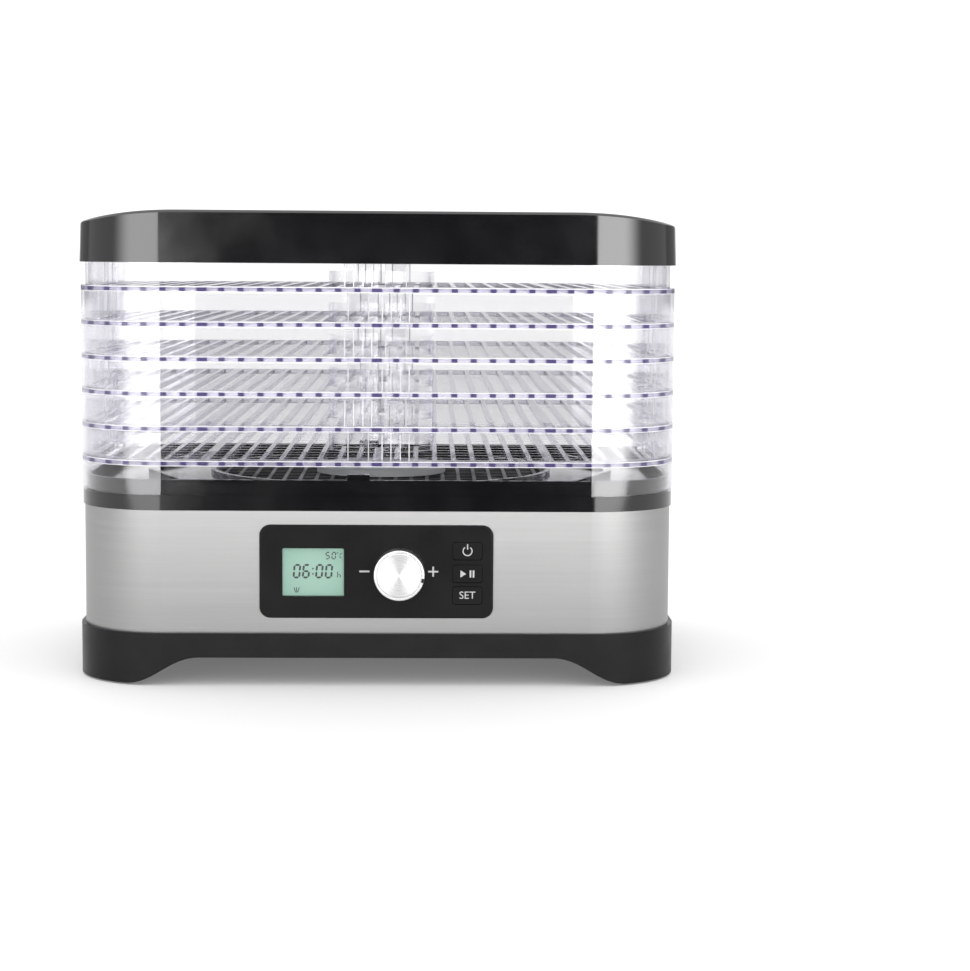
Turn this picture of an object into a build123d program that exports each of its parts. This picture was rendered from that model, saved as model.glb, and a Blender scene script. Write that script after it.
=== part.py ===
"""Food dehydrator: a base with fan, heater and controls, six stacking trays and a lid.

Millimetres, +Z up. The origin is on the floor, under the middle of the object.
The front, with the control panel, faces -Y. +X is to the right seen from the front.
"""

import math
import os

from build123d import *

# ---------------------------------------------------------------- driving sizes
CORNER_RADIUS = 50.0  # plan corner of the trays; every other plan follows it
TRAY_LENGTH = 339.0  # outside of a tray's skirt, along X
TRAY_DEPTH = 250.0  # the same along Y
LID_GROWTH = 1.0  # the lid's lower edge is this much longer than a tray
BAND_GROWTH = -0.7  # the band and the steel are a little smaller than a tray
STEEL_GROWTH = -2.7
BASE_GROWTH = 2.2

# heights
FOOT_PAD_DROP = 1.0  # pads stand this far below the feet
ARCH_HEIGHT = 16.1  # underside of the base between the feet
BASE_RIM_TOP = 29.8
STEEL_TOP = 98.4
BAND_TOP = 107.0  # ledge that carries the lowest tray
DECK_TOP = 109.2
DECK_COLLAR_TOP = 115.4
TRAY_PITCH = 19.24  # compact stacking, every other tray turned half round
TRAY_COUNT = 6
LID_EDGE_HEIGHT = 22.0  # height of the lid where its end meets the side
LID_CROWN_HEIGHT = 29.0

# walls and gaps
WALL = 2.5
BASE_WALL = 3.0  # floor and lips of the base, and the deck's rim
SNUG = 0.02  # between a screw or shaft and the bore that grips it
RUNNING_GAP = 0.06  # between a turning shaft and its bore
HOLE_GAP = 0.1  # between a fastener or pane and the hole it drops into
LOOSE_GAP = 0.3
CUT_MARGIN = 1.0  # cutting blocks run past the faces they cut by this much
SKIRT_WALL = 2.0
COLLAR_WALL = 1.8
COLLAR_GAP = 0.6  # between a collar and the skirt that drops over it
STACK_GAP = 0.05  # between one tray's rim and the next tray's skirt
STEEL_SHEET = 0.8

# tray
SHELF_THICKNESS = 3.0
TRAY_COLLAR_HEIGHT = 15.0  # above the shelf
SHELF_BORDER = 6.0  # plain strip between collar and grid
RIB_PITCH = 10.7
RIB_WIDTH = 2.8
WIDE_RIB_WIDTH = 5.5
WIDE_RIB_EVERY = 9  # every ninth rib from the middle is wide
RUNG_PITCH = 17.0
RUNG_WIDTH = 2.2
HUB_RADIUS = 32.0
HUB_WALL = 2.0
HUB_HEIGHT = 8.0
COLUMN_OFFSET = 10.4  # posts and pockets stand this far to either side of the middle
POST_WIDTH = 12.6
POST_DEPTH = 6.2
POST_HEIGHT = 19.0  # trays stacked without turning stand on these posts
POST_WALL = 1.4
POCKET_WIDTH = 16.3
POCKET_DEPTH = 9.5
POCKET_WALL = 1.2
POST_STAND_OFF = 1.7  # from the collar's inside to the post

# deck and air outlet
OUTLET_RADIUS = 100.0
OUTLET_LIP = 3.0
GRILLE_PITCH = 9.3
GRILLE_BAR = 2.0
GRILLE_HUB_RADIUS = 34.0
CAP_RADIUS = 39.0
CAP_HEIGHT = 6.3

# control panel
PANEL_LENGTH = 130.0
PANEL_HEIGHT = 52.2
PANEL_CENTRE_Z = 64.5
PANEL_CORNER = 6.0
PANEL_PROUD = 1.5
PANEL_THICKNESS = 4.3
PANEL_FLANGE = 3.0
WINDOW_LENGTH = 34.4
WINDOW_HEIGHT = 26.9
WINDOW_X = -35.2
WINDOW_Z = 64.2
KNOB_X = 12.8
KNOB_Z = 64.0
KNOB_RADIUS = 14.1
KNOB_DEPTH = 12.0
KNOB_STAND_OFF = 0.5
KEY_LENGTH = 16.2
KEY_HEIGHT = 9.8
KEY_X = 50.7
KEY_HEIGHTS = {"power_button": 76.4, "start_pause_button": 63.6, "set_button": 51.4}
KEY_TRAVEL = 0.6
KEY_GAP = 0.25

# air duct, fan and heater
DUCT_RADIUS = 86.0
DUCT_WALL = 2.0
FAN_RADIUS = 78.0
FAN_HUB_RADIUS = 21.0
FAN_Z = 66.0
FAN_BLADES = 7
FAN_BLADE_CHORD = 24.0
FAN_BLADE_PITCH = 35.0
MOTOR_RADIUS = 28.0
MOTOR_HEIGHT = 26.0
MOTOR_SHAFT_RADIUS = 2.5
BRACKET_Z = 24.0
BRACKET_SHEET = 1.5
BRACKET_REACH = 66.0
HEATER_Z = 89.0
HEATER_LOOP_RADIUS = 62.0
HEATER_TUBE_RADIUS = 3.2
MICA_THICKNESS = 1.2
MICA_HEIGHT = 14.0

# fasteners and boards
CASE_SCREW_X = 90.0
CASE_SCREW_Y = 100.0
SCREW_RADIUS = 1.5
SCREW_HEAD_RADIUS = 3.2
SCREW_HEAD_HEIGHT = 2.2
BOARD_SCREW_HEAD_RADIUS = 2.8
BOARD_SCREW_HEAD_HEIGHT = 2.0
BOARD_THICKNESS = 1.6
BOARD_STAND_OFF = 7.2  # from the panel's back to the control board
GLAND_X = -110.0
GLAND_Z = 45.0
GLAND_BORE_RADIUS = 3.6
GLAND_THREAD_RADIUS = 6.0

# ------------------------------------------------------------- worked-out sizes
BASE_FLOOR_TOP = ARCH_HEIGHT + BASE_WALL
SHELF_Z = TRAY_PITCH - STACK_GAP  # top of a shelf above the bottom of its own skirt
FIRST_TRAY_Z = BAND_TOP + STACK_GAP
TOP_SHELF_Z = FIRST_TRAY_Z + (TRAY_COUNT - 1) * TRAY_PITCH + SHELF_Z
LID_OVERLAP = 2.2  # the top tray's collar enters the lid by this much
LID_BOTTOM = TOP_SHELF_Z + TRAY_COLLAR_HEIGHT - LID_OVERLAP
COLLAR_INSET = SKIRT_WALL + COLLAR_GAP
COLLAR_INNER_INSET = COLLAR_INSET + COLLAR_WALL
COLLAR_INNER_X = TRAY_LENGTH / 2 - COLLAR_INNER_INSET
COLLAR_INNER_Y = TRAY_DEPTH / 2 - COLLAR_INNER_INSET
STEEL_FRONT = (TRAY_DEPTH + STEEL_GROWTH) / 2
PANEL_FRONT = STEEL_FRONT + PANEL_PROUD
PANEL_BACK = PANEL_FRONT - PANEL_THICKNESS
PANEL_FLANGE_FRONT = STEEL_FRONT - STEEL_SHEET
KNOB_BACK = PANEL_FRONT + KNOB_STAND_OFF
KNOB_FRONT = KNOB_BACK + KNOB_DEPTH
CONTROL_BOARD_FRONT = PANEL_BACK - BOARD_STAND_OFF
GRILLE_LEDGE_Z = DECK_TOP - WALL

os.makedirs("parts", exist_ok=True)


def save(part, name):
    """Label a finished piece and write it as one file."""
    part.label = name
    export_step(part, f"parts/{name}.step")


def plan_slab(low, high, growth=0.0, inset=0.0, mode=Mode.ADD):
    """Slab between two heights, whose outline is the tray's plan grown or drawn in."""
    length = TRAY_LENGTH + growth - 2 * inset
    depth = TRAY_DEPTH + growth - 2 * inset
    with BuildSketch(Plane.XY.offset(low)) as outline:
        RectangleRounded(length, depth, CORNER_RADIUS + growth / 2 - inset)
    extrude(outline.sketch, amount=high - low, mode=mode)


def disc(radius, low, high, centre=(0, 0), mode=Mode.ADD):
    """Round slab between two heights, standing on its centre in plan."""
    with BuildSketch(Plane.XY.offset(low)) as outline:
        with Locations(centre):
            Circle(radius)
    extrude(outline.sketch, amount=high - low, mode=mode)


def front_block(length, height, corner, front, back, centre, mode=Mode.ADD):
    """Rounded block facing -Y, between two distances in front of the middle plane."""
    with BuildSketch(Plane.XZ.offset(back)) as outline:
        with Locations(centre):
            RectangleRounded(length, height, corner)
    extrude(outline.sketch, amount=front - back, mode=mode)


def front_disc(radius, front, back, centre, mode=Mode.ADD):
    """Round block facing -Y, between two distances in front of the middle plane."""
    with BuildSketch(Plane.XZ.offset(back)) as outline:
        with Locations(centre):
            Circle(radius)
    extrude(outline.sketch, amount=front - back, mode=mode)


def corners(half_x, half_y):
    """The four points at plus and minus half_x, half_y."""
    return [(half_x, half_y), (-half_x, half_y), (-half_x, -half_y), (half_x, -half_y)]


# ------------------------------------------------------------------ base bottom
FOOT_Z = FOOT_PAD_DROP
PAD_RADIUS = 7.0
PAD_CENTRES = corners(146.0, 101.0)
PAD_RECESS = 1.5
PAD_GAP = 0.05
PAD_CHAMFER = 0.4
LIP_HEIGHT = 4.0
FOOT_HOLLOW_RADIUS = 11.0
FOOT_HOLLOW_FLOOR = 6.0  # solid sole left under each hollow
FOOT_HOLLOWS = corners(140.0, 94.0)
TOWER_RADIUS = 5.0
TOWER_HEIGHT = 5.0
COUNTERBORE_DEPTH = 4.0
MOTOR_POST_RADIUS = 5.5
BOARD_POST_RADIUS = 3.5
FRONT_ARCH_HALF = 99.0  # flat part of the arch seen from the front
FRONT_ARCH_FOOT = 141.0  # where the S-curve reaches the foot
SIDE_ARCH_HALF = 50.0
SIDE_ARCH_FOOT = 86.0
ARCH_SWING = 0.4  # share of the S-curve's run that each end keeps level
MOTOR_POSTS = [(BRACKET_REACH, 0), (0, BRACKET_REACH), (-BRACKET_REACH, 0), (0, -BRACKET_REACH)]
POWER_BOARD_X = -124.0
POWER_BOARD_LENGTH = 54.0  # along X
POWER_BOARD_DEPTH = 96.0  # along Y
POWER_BOARD_Z = 24.0
BOARD_POSTS = [(POWER_BOARD_X + x, y) for x, y in corners(21.0, 42.0)]
INLET_Y = 36.0  # middle of each block of slots, in front and behind
INLET_COLUMNS = 2
INLET_COLUMN_PITCH = 60.0
INLET_ROWS = 7
INLET_ROW_PITCH = 8.0
INLET_SLOT_LENGTH = 42.0
INLET_SLOT_WIDTH = 4.0


def sleeve_lip(start, height):
    """Lip just inside the steel sleeve, rising or hanging from a height."""
    with BuildSketch(Plane.XY.offset(start)) as lip:
        for inset, mode in ((STEEL_SHEET + HOLE_GAP, Mode.ADD), (BASE_WALL, Mode.SUBTRACT)):
            RectangleRounded(
                TRAY_LENGTH + STEEL_GROWTH - 2 * inset,
                TRAY_DEPTH + STEEL_GROWTH - 2 * inset,
                CORNER_RADIUS + STEEL_GROWTH / 2 - inset,
                mode=mode,
            )
    extrude(lip.sketch, amount=height)


def arch_outline(flat_half, foot_half):
    """Region under an arch with an S-curve down to each foot, drawn on the current plane."""
    swing = (foot_half - flat_half) * ARCH_SWING
    with BuildLine() as edge_line:
        Bezier(
            (-foot_half, FOOT_Z),
            (-foot_half + swing, FOOT_Z),
            (-flat_half - swing, ARCH_HEIGHT),
            (-flat_half, ARCH_HEIGHT),
        )
        Line((-flat_half, ARCH_HEIGHT), (flat_half, ARCH_HEIGHT))
        Bezier(
            (flat_half, ARCH_HEIGHT),
            (flat_half + swing, ARCH_HEIGHT),
            (foot_half - swing, FOOT_Z),
            (foot_half, FOOT_Z),
        )
        Line((foot_half, FOOT_Z), (foot_half, 0))
        Line((foot_half, 0), (-foot_half, 0))
        Line((-foot_half, 0), (-foot_half, FOOT_Z))
    make_face(edge_line.edges())


with BuildPart() as base_bottom:
    plan_slab(FOOT_Z, BASE_RIM_TOP, BASE_GROWTH)
    with BuildSketch(Plane.XZ) as front_arch:
        arch_outline(FRONT_ARCH_HALF, FRONT_ARCH_FOOT)
    extrude(front_arch.sketch, amount=TRAY_DEPTH, both=True, mode=Mode.SUBTRACT)
    with BuildSketch(Plane.YZ) as side_arch:
        arch_outline(SIDE_ARCH_HALF, SIDE_ARCH_FOOT)
    extrude(side_arch.sketch, amount=TRAY_LENGTH, both=True, mode=Mode.SUBTRACT)
    plan_slab(BASE_FLOOR_TOP, BASE_RIM_TOP, STEEL_GROWTH, inset=BASE_WALL, mode=Mode.SUBTRACT)
    sleeve_lip(BASE_RIM_TOP, LIP_HEIGHT)
    # hollow feet, pad recesses
    for centre in FOOT_HOLLOWS:
        disc(FOOT_HOLLOW_RADIUS, FOOT_Z + FOOT_HOLLOW_FLOOR, BASE_FLOOR_TOP, centre, mode=Mode.SUBTRACT)
    for centre in PAD_CENTRES:
        disc(PAD_RADIUS, FOOT_Z, FOOT_Z + PAD_RECESS, centre, mode=Mode.SUBTRACT)
    # screw towers with counterbores from below
    for centre in corners(CASE_SCREW_X, CASE_SCREW_Y):
        disc(TOWER_RADIUS, BASE_FLOOR_TOP, BASE_FLOOR_TOP + TOWER_HEIGHT, centre)
        disc(SCREW_HEAD_RADIUS + LOOSE_GAP, 0, ARCH_HEIGHT + COUNTERBORE_DEPTH, centre, mode=Mode.SUBTRACT)
        disc(SCREW_RADIUS + LOOSE_GAP, 0, BASE_FLOOR_TOP + TOWER_HEIGHT, centre, mode=Mode.SUBTRACT)
    # posts for the motor bracket and the power board
    for centre in MOTOR_POSTS:
        disc(MOTOR_POST_RADIUS, BASE_FLOOR_TOP, BRACKET_Z, centre)
        disc(SCREW_RADIUS + SNUG, BASE_FLOOR_TOP, BRACKET_Z, centre, mode=Mode.SUBTRACT)
    for centre in BOARD_POSTS:
        disc(BOARD_POST_RADIUS, BASE_FLOOR_TOP, POWER_BOARD_Z, centre)
        disc(SCREW_RADIUS + SNUG, BASE_FLOOR_TOP, POWER_BOARD_Z, centre, mode=Mode.SUBTRACT)
    # air inlet slots, one block in front and one behind
    with BuildSketch(Plane.XY.offset(ARCH_HEIGHT)) as inlet:
        for side in (-1, 1):
            with Locations((0, side * INLET_Y)):
                with GridLocations(INLET_COLUMN_PITCH, INLET_ROW_PITCH, INLET_COLUMNS, INLET_ROWS):
                    SlotOverall(INLET_SLOT_LENGTH, INLET_SLOT_WIDTH)
    extrude(inlet.sketch, amount=BASE_WALL + CUT_MARGIN, mode=Mode.SUBTRACT)
save(base_bottom.part, "base_bottom")

with BuildPart() as rubber_feet:
    for centre in PAD_CENTRES:
        disc(PAD_RADIUS - PAD_GAP, 0, FOOT_Z + PAD_RECESS, centre)
    chamfer(rubber_feet.faces().sort_by(Axis.Z)[: len(PAD_CENTRES)].edges(), PAD_CHAMFER)
save(rubber_feet.part, "rubber_feet")

# ------------------------------------------------------------------- steel wrap
PANEL_HOLE_GAP = 0.15
GLAND_CENTRE = (GLAND_X, GLAND_Z)
with BuildPart() as steel_wrap:
    plan_slab(BASE_RIM_TOP, STEEL_TOP, STEEL_GROWTH)
    plan_slab(BASE_RIM_TOP, STEEL_TOP, STEEL_GROWTH, inset=STEEL_SHEET, mode=Mode.SUBTRACT)
    front_block(
        PANEL_LENGTH + 2 * PANEL_HOLE_GAP,
        PANEL_HEIGHT + 2 * PANEL_HOLE_GAP,
        PANEL_CORNER + PANEL_HOLE_GAP,
        STEEL_FRONT + CUT_MARGIN,
        STEEL_FRONT - 2 * STEEL_SHEET,
        (0, PANEL_CENTRE_Z),
        mode=Mode.SUBTRACT,
    )
    front_disc(
        GLAND_THREAD_RADIUS + HOLE_GAP,
        CUT_MARGIN - STEEL_FRONT,
        -CUT_MARGIN - STEEL_FRONT,
        GLAND_CENTRE,
        mode=Mode.SUBTRACT,
    )
save(steel_wrap.part, "steel_wrap")

# --------------------------------------------------------------------- top deck
DECK_BOSS_RADIUS = 4.0
DECK_BOSS_FOOT = BASE_FLOOR_TOP + TOWER_HEIGHT + HOLE_GAP
DECK_BOSS_BORE = 20.0
OUTLET_LIP_HEIGHT = 2.5
OUTLET_LEDGE = 5.0  # the grille rests on a ledge this wide
STUB_HEIGHT = 9.0
AIR_RIB_X = 124.0
AIR_RIB_Y = 60.0
AIR_RIB_LENGTH = 72.0
AIR_RIB_WIDTH = 3.0
AIR_RIB_HEIGHT = 3.5
AIR_RIB_LEAN = 69.0  # degrees from the X axis


def grow_column(width, depth, height, floor, centre_along, side, stand_off=0.0, mode=Mode.ADD):
    """Block inside a collar, standing off its front, back, left or right wall."""
    if side in ("front", "back"):
        sign = -1 if side == "front" else 1
        centre = (centre_along, sign * (COLLAR_INNER_Y - depth / 2 - stand_off))
        size = (width, depth)
    else:
        sign = -1 if side == "left" else 1
        centre = (sign * (COLLAR_INNER_X - depth / 2 - stand_off), centre_along)
        size = (depth, width)
    with BuildSketch(Plane.XY.offset(floor)) as outline:
        with Locations(centre):
            Rectangle(*size)
    extrude(outline.sketch, amount=height, mode=mode)


with BuildPart() as top_deck:
    plan_slab(STEEL_TOP, BAND_TOP, BAND_GROWTH)
    plan_slab(BAND_TOP, DECK_COLLAR_TOP, inset=COLLAR_INSET)
    plan_slab(DECK_TOP, DECK_COLLAR_TOP, inset=COLLAR_INSET + WALL, mode=Mode.SUBTRACT)
    plan_slab(STEEL_TOP, GRILLE_LEDGE_Z, STEEL_GROWTH, inset=BASE_WALL, mode=Mode.SUBTRACT)
    sleeve_lip(STEEL_TOP, -LIP_HEIGHT)
    # air outlet with its ledge below and its lip above
    outlet_top = DECK_TOP + OUTLET_LIP_HEIGHT
    disc(OUTLET_RADIUS + OUTLET_LIP, GRILLE_LEDGE_Z - WALL, outlet_top)
    disc(OUTLET_RADIUS - OUTLET_LEDGE, STEEL_TOP, outlet_top, mode=Mode.SUBTRACT)
    disc(OUTLET_RADIUS, GRILLE_LEDGE_Z, outlet_top, mode=Mode.SUBTRACT)
    # raised ribs that steer the air, one in each corner of the deck
    for x, y in corners(AIR_RIB_X, AIR_RIB_Y):
        lean = -AIR_RIB_LEAN if x * y > 0 else AIR_RIB_LEAN
        with BuildSketch(Plane.XY.offset(DECK_TOP)) as air_rib:
            with Locations(Location((x, y, 0), (0, 0, lean))):
                SlotOverall(AIR_RIB_LENGTH, AIR_RIB_WIDTH)
        extrude(air_rib.sketch, amount=AIR_RIB_HEIGHT)
    # stubs that the lowest tray drops over
    for side in ("front", "back"):
        grow_column(POST_WIDTH, POST_DEPTH, STUB_HEIGHT, DECK_TOP, -COLUMN_OFFSET, side, POST_STAND_OFF)
    # screw bosses down to the base
    for centre in corners(CASE_SCREW_X, CASE_SCREW_Y):
        disc(DECK_BOSS_RADIUS, DECK_BOSS_FOOT, DECK_TOP - WALL, centre)
        disc(SCREW_RADIUS + SNUG, DECK_BOSS_FOOT, DECK_BOSS_FOOT + DECK_BOSS_BORE, centre, mode=Mode.SUBTRACT)
save(top_deck.part, "top_deck")

# --------------------------------------------------------------- grille and cap
CAP_TOP = DECK_TOP + CAP_HEIGHT
CAP_BEVEL_WIDTH = 3.0
CAP_BEVEL_TOP = CAP_TOP - 1.4
CAP_BEVEL_FOOT = CAP_TOP - 3.0
CAP_MIDWAY_TOP = CAP_TOP - 0.35  # half way out to the bevel
CAP_RIM_UNDERSIDE = CAP_TOP - 4.0
with BuildPart() as outlet_grille:
    grille_radius = OUTLET_RADIUS - LOOSE_GAP
    disc(grille_radius, GRILLE_LEDGE_Z, DECK_TOP)
    with BuildSketch(Plane.XY.offset(GRILLE_LEDGE_Z)) as lattice:
        Circle(grille_radius - WALL)
        Circle(GRILLE_HUB_RADIUS, mode=Mode.SUBTRACT)
        bars = int(grille_radius / GRILLE_PITCH)
        for index in range(-bars, bars + 1):
            with Locations((index * GRILLE_PITCH, 0)):
                Rectangle(GRILLE_BAR, 2 * grille_radius, mode=Mode.SUBTRACT)
            with Locations((0, index * GRILLE_PITCH)):
                Rectangle(2 * grille_radius, GRILLE_BAR, mode=Mode.SUBTRACT)
    extrude(lattice.sketch, amount=WALL, mode=Mode.SUBTRACT)
save(outlet_grille.part, "outlet_grille")

with BuildPart() as grille_cap:
    with BuildSketch(Plane.XZ) as cap_section:
        with BuildLine():
            Line((0, CAP_TOP - WALL), (0, CAP_TOP))
            ThreePointArc(
                (0, CAP_TOP),
                (CAP_RADIUS / 2, CAP_MIDWAY_TOP),
                (CAP_RADIUS - CAP_BEVEL_WIDTH, CAP_BEVEL_TOP),
            )
            Polyline(
                (CAP_RADIUS - CAP_BEVEL_WIDTH, CAP_BEVEL_TOP),
                (CAP_RADIUS, CAP_BEVEL_FOOT),
                (CAP_RADIUS, DECK_TOP),
                (CAP_RADIUS - WALL, DECK_TOP),
                (CAP_RADIUS - WALL, CAP_RIM_UNDERSIDE),
                (0, CAP_TOP - WALL),
            )
        make_face()
    revolve(cap_section.sketch, axis=Axis.Z)
save(grille_cap.part, "grille_cap")

# ---------------------------------------------------------------- control panel
ENCODER_BUSH_RADIUS = 4.5
BUSH_GAP = 0.2
PANEL_EDGE_FILLET = 0.8
WINDOW_CORNER = 1.0
KEY_CORNER = 1.5
BOARD_BOSS_RADIUS = 3.2
KNOB_CENTRE = (KNOB_X, KNOB_Z)
PANEL_CENTRE = (0, PANEL_CENTRE_Z)
WINDOW_CENTRE = (WINDOW_X, WINDOW_Z)
BOARD_HOLES = [(x, PANEL_CENTRE_Z + dz) for x in (-50.0, 33.0) for dz in (-20.6, 20.6)]
with BuildPart() as control_panel:
    front_block(PANEL_LENGTH, PANEL_HEIGHT, PANEL_CORNER, PANEL_FRONT, PANEL_BACK, PANEL_CENTRE)
    fillet(control_panel.faces().sort_by(Axis.Y)[0].edges(), PANEL_EDGE_FILLET)
    front_block(
        PANEL_LENGTH + 2 * PANEL_FLANGE,
        PANEL_HEIGHT + 2 * PANEL_FLANGE,
        PANEL_CORNER + PANEL_FLANGE,
        PANEL_FLANGE_FRONT,
        PANEL_BACK,
        PANEL_CENTRE,
    )
    front_block(
        WINDOW_LENGTH,
        WINDOW_HEIGHT,
        WINDOW_CORNER,
        PANEL_FRONT,
        PANEL_BACK,
        WINDOW_CENTRE,
        mode=Mode.SUBTRACT,
    )
    front_disc(ENCODER_BUSH_RADIUS + BUSH_GAP, PANEL_FRONT, PANEL_BACK, KNOB_CENTRE, mode=Mode.SUBTRACT)
    for hole in BOARD_HOLES:
        front_disc(BOARD_BOSS_RADIUS, PANEL_BACK, CONTROL_BOARD_FRONT, hole)
        front_disc(SCREW_RADIUS + SNUG, PANEL_BACK, CONTROL_BOARD_FRONT, hole, mode=Mode.SUBTRACT)
    for key_z in KEY_HEIGHTS.values():
        front_block(
            KEY_LENGTH + 2 * KEY_GAP,
            KEY_HEIGHT + 2 * KEY_GAP,
            KEY_CORNER + KEY_GAP,
            PANEL_FRONT,
            PANEL_BACK,
            (KEY_X, key_z),
            mode=Mode.SUBTRACT,
        )
save(control_panel.part, "control_panel")

PANE_FRONT = PANEL_FRONT - 0.1
PANE_BACK = PANE_FRONT - 1.5
GLASS_GAP = 0.2  # all round the display's glass
DISPLAY_LENGTH = 40.0  # of the display's body, behind the panel
DISPLAY_HEIGHT = 33.0
with BuildPart() as lcd_window:
    front_block(
        WINDOW_LENGTH - 2 * HOLE_GAP,
        WINDOW_HEIGHT - 2 * HOLE_GAP,
        WINDOW_CORNER - HOLE_GAP,
        PANE_FRONT,
        PANE_BACK,
        WINDOW_CENTRE,
    )
save(lcd_window.part, "lcd_window")

with BuildPart() as lcd_module:
    front_block(
        WINDOW_LENGTH - 2 * GLASS_GAP,
        WINDOW_HEIGHT - 2 * GLASS_GAP,
        WINDOW_CORNER - GLASS_GAP,
        PANE_BACK,
        PANEL_BACK,
        WINDOW_CENTRE,
    )
    front_block(
        DISPLAY_LENGTH,
        DISPLAY_HEIGHT,
        WINDOW_CORNER,
        PANEL_BACK,
        CONTROL_BOARD_FRONT,
        WINDOW_CENTRE,
    )
save(lcd_module.part, "lcd_module")

# ----------------------------------------------------------- knob and its shaft
SHAFT_RADIUS = 3.0
SHAFT_FRONT = KNOB_FRONT - 5.0
SHAFT_BACK = CONTROL_BOARD_FRONT + 1.7
SHAFT_WELL_BACK = CONTROL_BOARD_FRONT + 1.5
ENCODER_SIDE = 13.0
ENCODER_CORNER = 0.5
BUSH_FRONT = PANEL_FRONT - 0.3
KNOB_RIM_BACK = 0.8  # the rim ends this far behind the cap's face
KNOB_EDGE_FILLET = 0.8
CAP_RECESS = 1.8
CAP_RIM = 1.6
CAP_GAP = 0.05
CAP_CHAMFER = 0.5
KNOB_WALL = 1.8
KNOB_HOLLOW_FRONT = KNOB_BACK + 6.0
KNOB_BOSS_WALL = 1.5
with BuildPart() as encoder:
    front_block(ENCODER_SIDE, ENCODER_SIDE, ENCODER_CORNER, PANEL_BACK, CONTROL_BOARD_FRONT, KNOB_CENTRE)
    front_disc(ENCODER_BUSH_RADIUS, BUSH_FRONT, PANEL_BACK, KNOB_CENTRE)
    front_disc(SHAFT_RADIUS + RUNNING_GAP, PANEL_FRONT, SHAFT_WELL_BACK, KNOB_CENTRE, mode=Mode.SUBTRACT)
save(encoder.part, "encoder")

with BuildPart() as encoder_shaft:
    front_disc(SHAFT_RADIUS, SHAFT_FRONT, SHAFT_BACK, KNOB_CENTRE)
save(encoder_shaft.part, "encoder_shaft")

with BuildPart() as knob_body:
    front_disc(KNOB_RADIUS, KNOB_FRONT - KNOB_RIM_BACK, KNOB_BACK, KNOB_CENTRE)
    fillet(knob_body.edges().filter_by(GeomType.CIRCLE).sort_by(Axis.Y)[0], KNOB_EDGE_FILLET)
    front_disc(KNOB_RADIUS - CAP_RIM, KNOB_FRONT, KNOB_FRONT - CAP_RECESS, KNOB_CENTRE, mode=Mode.SUBTRACT)
    # open back round a central boss that holds the shaft
    front_disc(KNOB_RADIUS - KNOB_WALL, KNOB_HOLLOW_FRONT, KNOB_BACK, KNOB_CENTRE, mode=Mode.SUBTRACT)
    front_disc(SHAFT_RADIUS + KNOB_BOSS_WALL, KNOB_HOLLOW_FRONT, KNOB_BACK, KNOB_CENTRE)
    front_disc(SHAFT_RADIUS + SNUG, SHAFT_FRONT, KNOB_BACK, KNOB_CENTRE, mode=Mode.SUBTRACT)
save(knob_body.part, "knob_body")

with BuildPart() as knob_cap:
    front_disc(KNOB_RADIUS - CAP_RIM - CAP_GAP, KNOB_FRONT, KNOB_FRONT - CAP_RECESS, KNOB_CENTRE)
    chamfer(knob_cap.edges().filter_by(GeomType.CIRCLE).sort_by(Axis.Y)[0], CAP_CHAMFER)
save(knob_cap.part, "knob_cap")

# ---------------------------------------------------------- keys and their board
KEY_FRONT = PANEL_FRONT + 0.2
KEY_FLANGE_FRONT = PANEL_BACK - 0.2
KEY_FLANGE_BACK = KEY_FLANGE_FRONT - 1.0
KEY_FLANGE = 0.8  # the flange stands out from the key by this much
KEY_EDGE_FILLET = 0.3
KEY_STEM_RADIUS = 1.6
KEY_STEM_GAP = 0.05  # left between stem and switch at the end of the travel
SWITCH_FRONT = CONTROL_BOARD_FRONT + 3.0
SWITCH_CAN_FRONT = SWITCH_FRONT - 0.7
SWITCH_SIDE = 6.0
SWITCH_CORNER = 0.4
SWITCH_BUTTON_RADIUS = 1.7
CONTROL_BOARD_LENGTH = 118.0
CONTROL_BOARD_HEIGHT = 48.0
CONTROL_BOARD_X = 2.0
BOARD_CORNER = 1.0
CONTROL_BOARD_BACK = CONTROL_BOARD_FRONT - BOARD_THICKNESS
for key_name, key_z in KEY_HEIGHTS.items():
    with BuildPart() as key:
        key_centre = (KEY_X, key_z)
        front_block(KEY_LENGTH, KEY_HEIGHT, KEY_CORNER, KEY_FRONT, KEY_FLANGE_FRONT, key_centre)
        fillet(key.faces().sort_by(Axis.Y)[0].edges(), KEY_EDGE_FILLET)
        front_block(
            KEY_LENGTH + 2 * KEY_FLANGE,
            KEY_HEIGHT + 2 * KEY_FLANGE,
            KEY_CORNER + KEY_EDGE_FILLET,
            KEY_FLANGE_FRONT,
            KEY_FLANGE_BACK,
            key_centre,
        )
        front_disc(KEY_STEM_RADIUS, KEY_FLANGE_BACK, SWITCH_FRONT + KEY_TRAVEL + KEY_STEM_GAP, key_centre)
    save(key.part, key_name)

with BuildPart() as control_board:
    front_block(
        CONTROL_BOARD_LENGTH,
        CONTROL_BOARD_HEIGHT,
        BOARD_CORNER,
        CONTROL_BOARD_FRONT,
        CONTROL_BOARD_BACK,
        (CONTROL_BOARD_X, PANEL_CENTRE_Z),
    )
    for hole in BOARD_HOLES:
        front_disc(SCREW_RADIUS + HOLE_GAP, CONTROL_BOARD_FRONT, CONTROL_BOARD_BACK, hole, mode=Mode.SUBTRACT)
save(control_board.part, "control_board")

with BuildPart() as tact_switches:
    for key_z in KEY_HEIGHTS.values():
        centre = (KEY_X, key_z)
        front_block(SWITCH_SIDE, SWITCH_SIDE, SWITCH_CORNER, SWITCH_CAN_FRONT, CONTROL_BOARD_FRONT, centre)
        front_disc(SWITCH_BUTTON_RADIUS, SWITCH_FRONT, SWITCH_CAN_FRONT, centre)
save(tact_switches.part, "tact_switches")

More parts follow.
